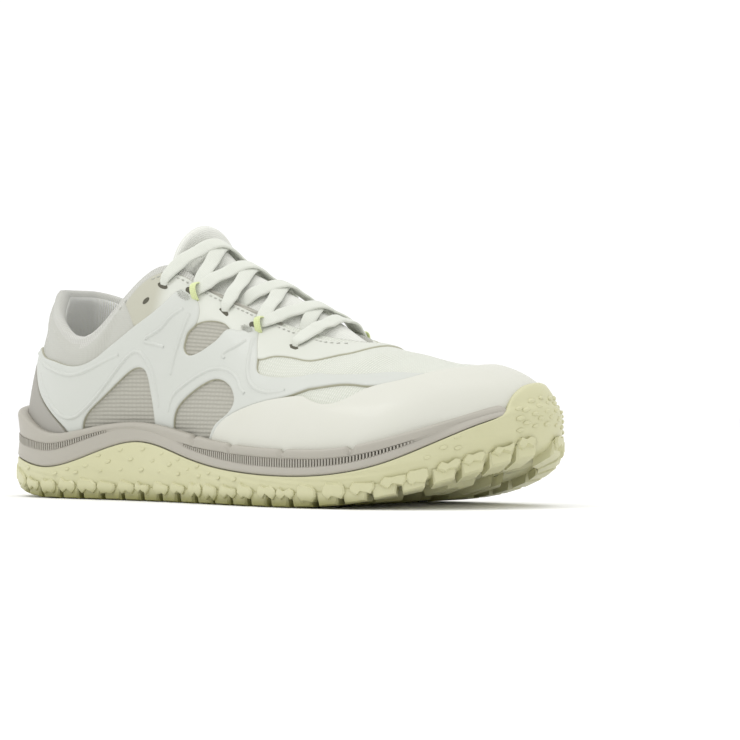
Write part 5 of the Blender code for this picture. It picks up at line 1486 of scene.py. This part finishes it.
# Its free end: share of LENGTH, height, half width, fall of its sides
TONGUE_TIP = (
    (0.368, 0.1000, 0.0185, 0.0080), (0.361, 0.1050, 0.0225, 0.0096), (0.357, 0.1094, 0.0250, 0.0108),
)
TONGUE_DRIFT = 0.0040    # how far the free end has slid to the inner side
CORNER_LONG, CORNER_IN, CORNER_DOWN = 0.011, 0.14, 0.0050    # the free end's drawn corners
TONGUE_ROUND, QUILT = 0.0035, 0.00035    # rounding of the ends, height of the padding's channels
rows = []
for share, lift, past in TONGUE_ROWS:
    pair = zip(edge_row(LATERAL, share * LENGTH), edge_row(MEDIAL, share * LENGTH))
    z3, r3, slope = (float(np.mean(v)) for v in pair)
    half = r3 + past
    rows.append((share, z3 + 0.5 * r3 * slope + lift, half, half**2 * slope / (2 * r3)))
rows = np.array(rows + list(TONGUE_TIP))
knots = np.r_[0, np.cumsum(np.hypot(np.diff(rows[:, 0]) * LENGTH, np.diff(rows[:, 1])))]
stations = np.linspace(0, knots[-1], 90)
fine_rows = spline(knots, rows)(stations)
aside = np.linspace(-1, 1, 41)
top = np.array([
    np.column_stack([
        np.full(len(aside), share * LENGTH),
        spine(np.array(share * LENGTH))[1] + TONGUE_DRIFT * smooth(0.40 - share, 0, 0.04) + half * aside,
        height - fall * aside**2 + crown_over(share * LENGTH, aside),
    ])
    for share, height, half, fall in fine_rows
])
# The free end is an arch: its corners are drawn down and in
from_end = (stations[-1] - stations) / CORNER_LONG
corner = np.clip(1 - from_end, 0, 1)[:, None] * np.abs(aside)[None, :] ** 4
top[..., 1] -= (top[..., 1] - spine(top[..., 0])[..., 1]) * CORNER_IN * corner
top[..., 2] -= CORNER_DOWN * corner
normal = unit(np.cross(np.gradient(top, axis=0), np.gradient(top, axis=1)))
normal *= np.sign(normal[..., 2:])
ends = np.clip(np.minimum(stations, stations[-1] - stations) / TONGUE_ROUND, 0, 1)[:, None]
swell = np.sqrt(1 - (1 - np.minimum(ends, np.clip((1 - np.abs(aside)) * 16 / 3.0, 0, 1)[None, :])) ** 2)
quilt = QUILT * np.cos(np.pi * aside * 2.0)[None, :] * ends
over = top + normal * (-TONGUE / 2 + (TONGUE / 2) * swell + quilt)[..., None]
under = top - normal * (TONGUE / 2 + (TONGUE / 2) * (1 - 0.45 * aside**4)[None, :] * swell)[..., None]
n, m = over.shape[:2]
faces = []
for quad in between(n, m, closed=False):
    faces += [quad, tuple(q + n * m for q in quad[::-1])]
border = list(range(m)) + [i * m + m - 1 for i in range(1, n)]
border += [(n - 1) * m + j for j in range(m - 2, -1, -1)] + [i * m for i in range(n - 2, 0, -1)]
faces += [(a, b, b + n * m, a + n * m) for a, b in zip(border, border[1:] + border[:1])]
points = np.vstack([over.reshape(-1, 3), under.reshape(-1, 3)])
uv = np.stack(np.broadcast_arrays(stations[:, None], aside[None, :] * fine_rows[:, 2:3]), -1).reshape(-1, 2)
tongue = make_mesh("tongue_pad", points, faces, [tongue_knit], np.vstack([uv, uv]), weld=1e-6)
settle(tongue, "tongue_knit", "tongue")

# ------------------------------------------------------------------ laces
# Eyelets: share of LENGTH, share down the rib, and whether the lace goes through a loop there
EYELETS = {
    LATERAL: (
        (0.358, 0.122, False), (0.414, 0.092, True), (0.471, 0.108, False), (0.538, 0.120, True),
        (0.611, 0.172, False),
    ),
    MEDIAL: (
        (0.357, 0.120, True), (0.415, 0.110, True), (0.470, 0.110, True), (0.536, 0.110, True),
        (0.611, 0.130, True),
    ),
}
LACE_LOW, LACE_HIGH = -0.0010, 0.0021    # the lace's middle over the tongue and over the eyestay
LACE_DIVE, LACE_UNDER = 0.0046, 0.0040    # how far it sinks into an eyelet and under the film
BOW_LOW, BOW_UP, BOW_DOWN = -0.0030, -0.0024, 0.0034    # how far the runs bend aside
CROSSING_OVER, CROSSING_UNDER = 0.0010, -0.0002
LOOP_LONG, LOOP_RISE, LOOP_DRIFT = (-0.068, 0.036), 0.0042, 0.006
WEBBING_HALF = (0.00145, 0.00042)    # half width and half thickness


def over_throat(flat):
    """Points on the skin over the throat below points seen from above, its normals and margins."""
    def at(p):
        z, margin = bridge(p[:, 0], p[:, 1])
        return np.column_stack([p, z]), margin

    base, margin = at(flat)
    ahead = at(flat + (0.002, 0))[0] - at(flat - (0.002, 0))[0]
    aside = at(flat + (0, 0.001))[0] - at(flat - (0, 0.001))[0]
    return base, unit(np.cross(ahead, aside)), margin


def lace(start, stop, lift, bow, sunk=(0.0, 0.0)):
    """One run of the flat lace from eyelet to eyelet, sunk into the eyelet at each end."""
    s = np.linspace(-0.05, 1.05, 56)[:, None]
    a, b = np.array(start)[:2], np.array(stop)[:2]
    aside = np.array([-(b - a)[1], (b - a)[0]]) / np.linalg.norm(b - a)
    flat = a * (1 - s) + b * s
    flat = flat + aside * bow * np.sin(np.pi * np.clip(s, 0, 1))
    base, up, margin = over_throat(flat)
    s = s[:, 0]
    rise = LACE_LOW + (LACE_HIGH - LACE_LOW) * (1 - smooth(margin, 0.0005, 0.0080))
    middle = np.exp(-(((s - 0.5) / 0.17) ** 2))
    rise = rise + lift * middle + 0.0004 * np.sin(np.pi * np.clip(s, 0, 1))
    ends = 1 - smooth(s, -0.045, 0.025) + smooth(s, 0.975, 1.045)
    rise = rise - LACE_DIVE * ends - sunk[0] * (1 - smooth(s, 0.02, 0.22)) - sunk[1] * smooth(s, 0.78, 0.98)
    path = base + up * rise[:, None]
    along = heading(path)
    squeezed = 1 - 0.30 * np.clip(1 - np.minimum(s, 1 - s) / 0.10, 0, 1)
    roll = 0.10 * np.sin(7 * s + 40 * lift)
    turn, tilt = np.cos(roll)[:, None], np.sin(roll)[:, None]
    wide = np.cross(up, along)
    high = np.cross(along, wide)
    wide, high = wide * turn + high * tilt, high * turn - wide * tilt
    half_wide = (LACE_WIDTH / 2 * squeezed)[:, None]
    half_high = (LACE_THICKNESS / 2 * (1 + 0.5 * (1 - squeezed)))[:, None]
    return swept("lace run", path, wide * half_wide, high * half_high, flat_section(), lace_weave)


def joined(name, objects, slot, *nodes):
    """Puts several meshes in one piece."""
    bm = bmesh.new()
    for obj in objects:
        bm.from_mesh(obj.data)
    mesh = objects[0].data.copy()
    bm.to_mesh(mesh)
    bm.free()
    mesh.name = name
    for obj in objects:
        bpy.data.objects.remove(obj)
    whole = bpy.data.objects.new(name, mesh)
    bpy.context.collection.objects.link(whole)
    mesh.shade_smooth()
    return settle(whole, slot, *nodes)


spots = {side: [across(x, side * v) for x, v, _ in EYELETS[side]] for side in (LATERAL, MEDIAL)}
# Two runs come out between the film and the tongue, the rest out of their slots
under_film = {
    k: across(EYELETS[LATERAL][k][0] + shift, LATERAL * 0.012) for k, shift in ((2, 0.010), (4, -0.012))
}
runs = [lace(spots[LATERAL][4], spots[MEDIAL][4], 0.0, BOW_LOW)]
for k in range(4):
    start = under_film[2] if k == 2 else spots[LATERAL][k]
    stop = under_film[4] if k == 3 else spots[LATERAL][k + 1]
    runs.append(lace(start, spots[MEDIAL][k + 1], CROSSING_OVER, BOW_UP, (LACE_UNDER * (k == 2), 0.0)))
    runs.append(lace(spots[MEDIAL][k], stop, CROSSING_UNDER, BOW_DOWN, (0.0, LACE_UNDER * (k == 3))))
joined("lace_runs", runs, "lace", "laces")

# Webbing loops: bands that rise out of the eyestay round the lace and go back in
holes, tacks = {True: [], False: []}, []
for side, label in ((LATERAL, "lateral"), (MEDIAL, "medial")):
    for k, (x, v, looped) in enumerate(EYELETS[side]):
        if looped:
            s = np.linspace(0, 1, 26)
            near, far = v + LOOP_LONG[0], v + LOOP_LONG[1]
            vs = side * (near + (far - near) * s)
            xs = x + 0.002 + LOOP_DRIFT * (s - 0.5)
            path = across(xs, vs, EYESTAY_FILM - 0.0004 + LOOP_RISE * np.sin(np.pi * s) ** 0.75)
            along = heading(path)
            wide = unit(np.cross(facing(across, xs, vs)[2], along))
            high = np.cross(along, wide)
            band = swept(
                f"webbing_loop_{label}_{k + 1}", path, wide * WEBBING_HALF[0], high * WEBBING_HALF[1],
                flat_section(12, 0.5), loop_webbing,
            )
            settle(band, "webbing", f"lace_loop_{label}_{k + 1}")
            tacks.append((x - 0.014, side * (v + 0.050), side))
        back, down = (0.008, 0.010) if looped else (0.0, 0.014)
        holes[looped].append((x - back, side * (v + down), side))


def patch(name, places, half_long, half_wide, tilt, lift):
    """Small rounded flat patches on the eyestay: painted shade that stands in for the shaded mouths of punched
    slots.
    """
    points, faces = [], []
    for x, v, side in places:
        a, b, n = (q[0] for q in facing(across, [x], [v]))
        centre = across([x], [v], lift)[0]
        long_way = a * math.cos(tilt) + b * math.sin(tilt) * side
        short_way = np.cross(n, long_way)
        start = len(points)
        points.append(centre + n * 0.00003)
        for q in np.linspace(0, 2 * math.pi, 20, endpoint=False):
            points.append(centre + long_way * half_long * math.cos(q) + short_way * half_wide * math.sin(q))
        faces += [(start, start + 1 + i, start + 1 + (i + 1) % 20) for i in range(20)]
    settle(make_mesh(name, points, faces, [hole_painted_shade], attributes={"edge": np.full(len(points), 0.01)}), "film")


ON_FILM = 0.00006    # how far a slot's patch lies over its film
patch("lace_slot_shade", holes[False], 0.0027, 0.0012, 0.3, EYESTAY_FILM + ON_FILM)
patch("loop_slot_shade", holes[True], 0.0022, 0.0014, 0.3, FILM + ON_FILM)
patch("spare_slot_shade", [(0.333, s * 0.207, s) for s in (LATERAL, MEDIAL)], 0.0017, 0.0010, -0.4,
      EYESTAY_FILM + ON_FILM)

# ------------------------------------------------------------------ seams
THROAT_SEAM = (
    (0.335, 0.084), (0.370, 0.070), (0.410, 0.057), (0.480, 0.055), (0.560, 0.062), (0.625, 0.075),
    (0.660, 0.095), (0.686, 0.105),
)
tack_runs = []
for x, v, side in tacks:
    for k in range(-2, 3):    # five rows of dense stitches, the middle one the longest
        q = v + side * 0.0085 * k
        reach = 0.0125 - 0.0022 * abs(k)
        tack_runs.append([(x - reach, q), (x, q + side * 0.002), (x + reach, q)])
throat = [[(x, s * v) for x, v in THROAT_SEAM] for s in (LATERAL, MEDIAL)]
stitches("throat_stitches", across, throat, 0.0026, EYESTAY_FILM, 0.0007, 0.0005)
stitches("loop_tacks", across, tack_runs, 0.0009, FILM + 0.00005, 0.0005, 0.0004)
topline = [(u, 0.952) for u in np.linspace(-0.30, 0.30, 25)]
stitches("topline_stitches", around, [topline], 0.0022, 0.0004, 0.0006, 0.0004)

# ------------------------------------------------------------------ floor, light and camera
bpy.ops.mesh.primitive_plane_add(size=6.0, location=(0, 0, -0.0001))
floor = bpy.context.object
floor.name = "floor"
paper, _, paper_shader = started("matt paper sweep", 0.9)
paper_shader.inputs["Base Color"].default_value = (0.95, 0.95, 0.95, 1)
floor.data.materials.append(paper)
floor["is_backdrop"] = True

world = bpy.data.worlds.new("studio")
bpy.context.scene.world = world
world.use_nodes = True
sky = world.node_tree.nodes["Background"]
sky.inputs[0].default_value = (1.0, 1.0, 1.0, 1)
sky.inputs[1].default_value = 1.06


def lamp(name, place, aim, size, power):
    """A square softbox at a place that points at another."""
    light = bpy.data.lights.new(name, "AREA")
    light.size = size
    light.energy = power
    obj = bpy.data.objects.new(name, light)
    bpy.context.collection.objects.link(obj)
    obj.location = place
    obj.rotation_mode = "QUATERNION"
    obj.rotation_quaternion = (Vector(aim) - Vector(place)).to_track_quat("-Z", "Y")
    return obj


lamp("key", (-0.35, -0.55, 1.20), (0, 0, 0.03), 0.35, 4.0)
lamp("top", (0.20, 0.30, 1.30), (0, 0, 0.03), 0.6, 2.5)

# The camera: 38.5 degrees off the side towards the toe, level, 1.19 m away
CAMERA_YAW, CAMERA_PITCH, CAMERA_AWAY = math.radians(38.5), math.radians(-0.307), 1.1917
SENSOR = 36.0
back = Vector((
    math.sin(CAMERA_YAW) * math.cos(CAMERA_PITCH), -math.cos(CAMERA_YAW) * math.cos(CAMERA_PITCH),
    math.sin(CAMERA_PITCH),
))
aim = Vector((0.18394, 0.0, 0.053235)) + Vector(SHIFT)
camera_data = bpy.data.cameras.new("camera")
camera_data.lens = SENSOR * 3000.0 / 740.0
camera_data.sensor_width = SENSOR
camera_data.clip_start, camera_data.clip_end = 0.01, 20.0
camera = bpy.data.objects.new("camera", camera_data)
bpy.context.collection.objects.link(camera)
camera.location = aim + back * CAMERA_AWAY
camera.rotation_mode = "QUATERNION"
camera.rotation_quaternion = (-back).to_track_quat("-Z", "Y")
bpy.context.scene.camera = camera
bpy.context.scene.view_settings.view_transform = "Standard"

low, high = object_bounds()
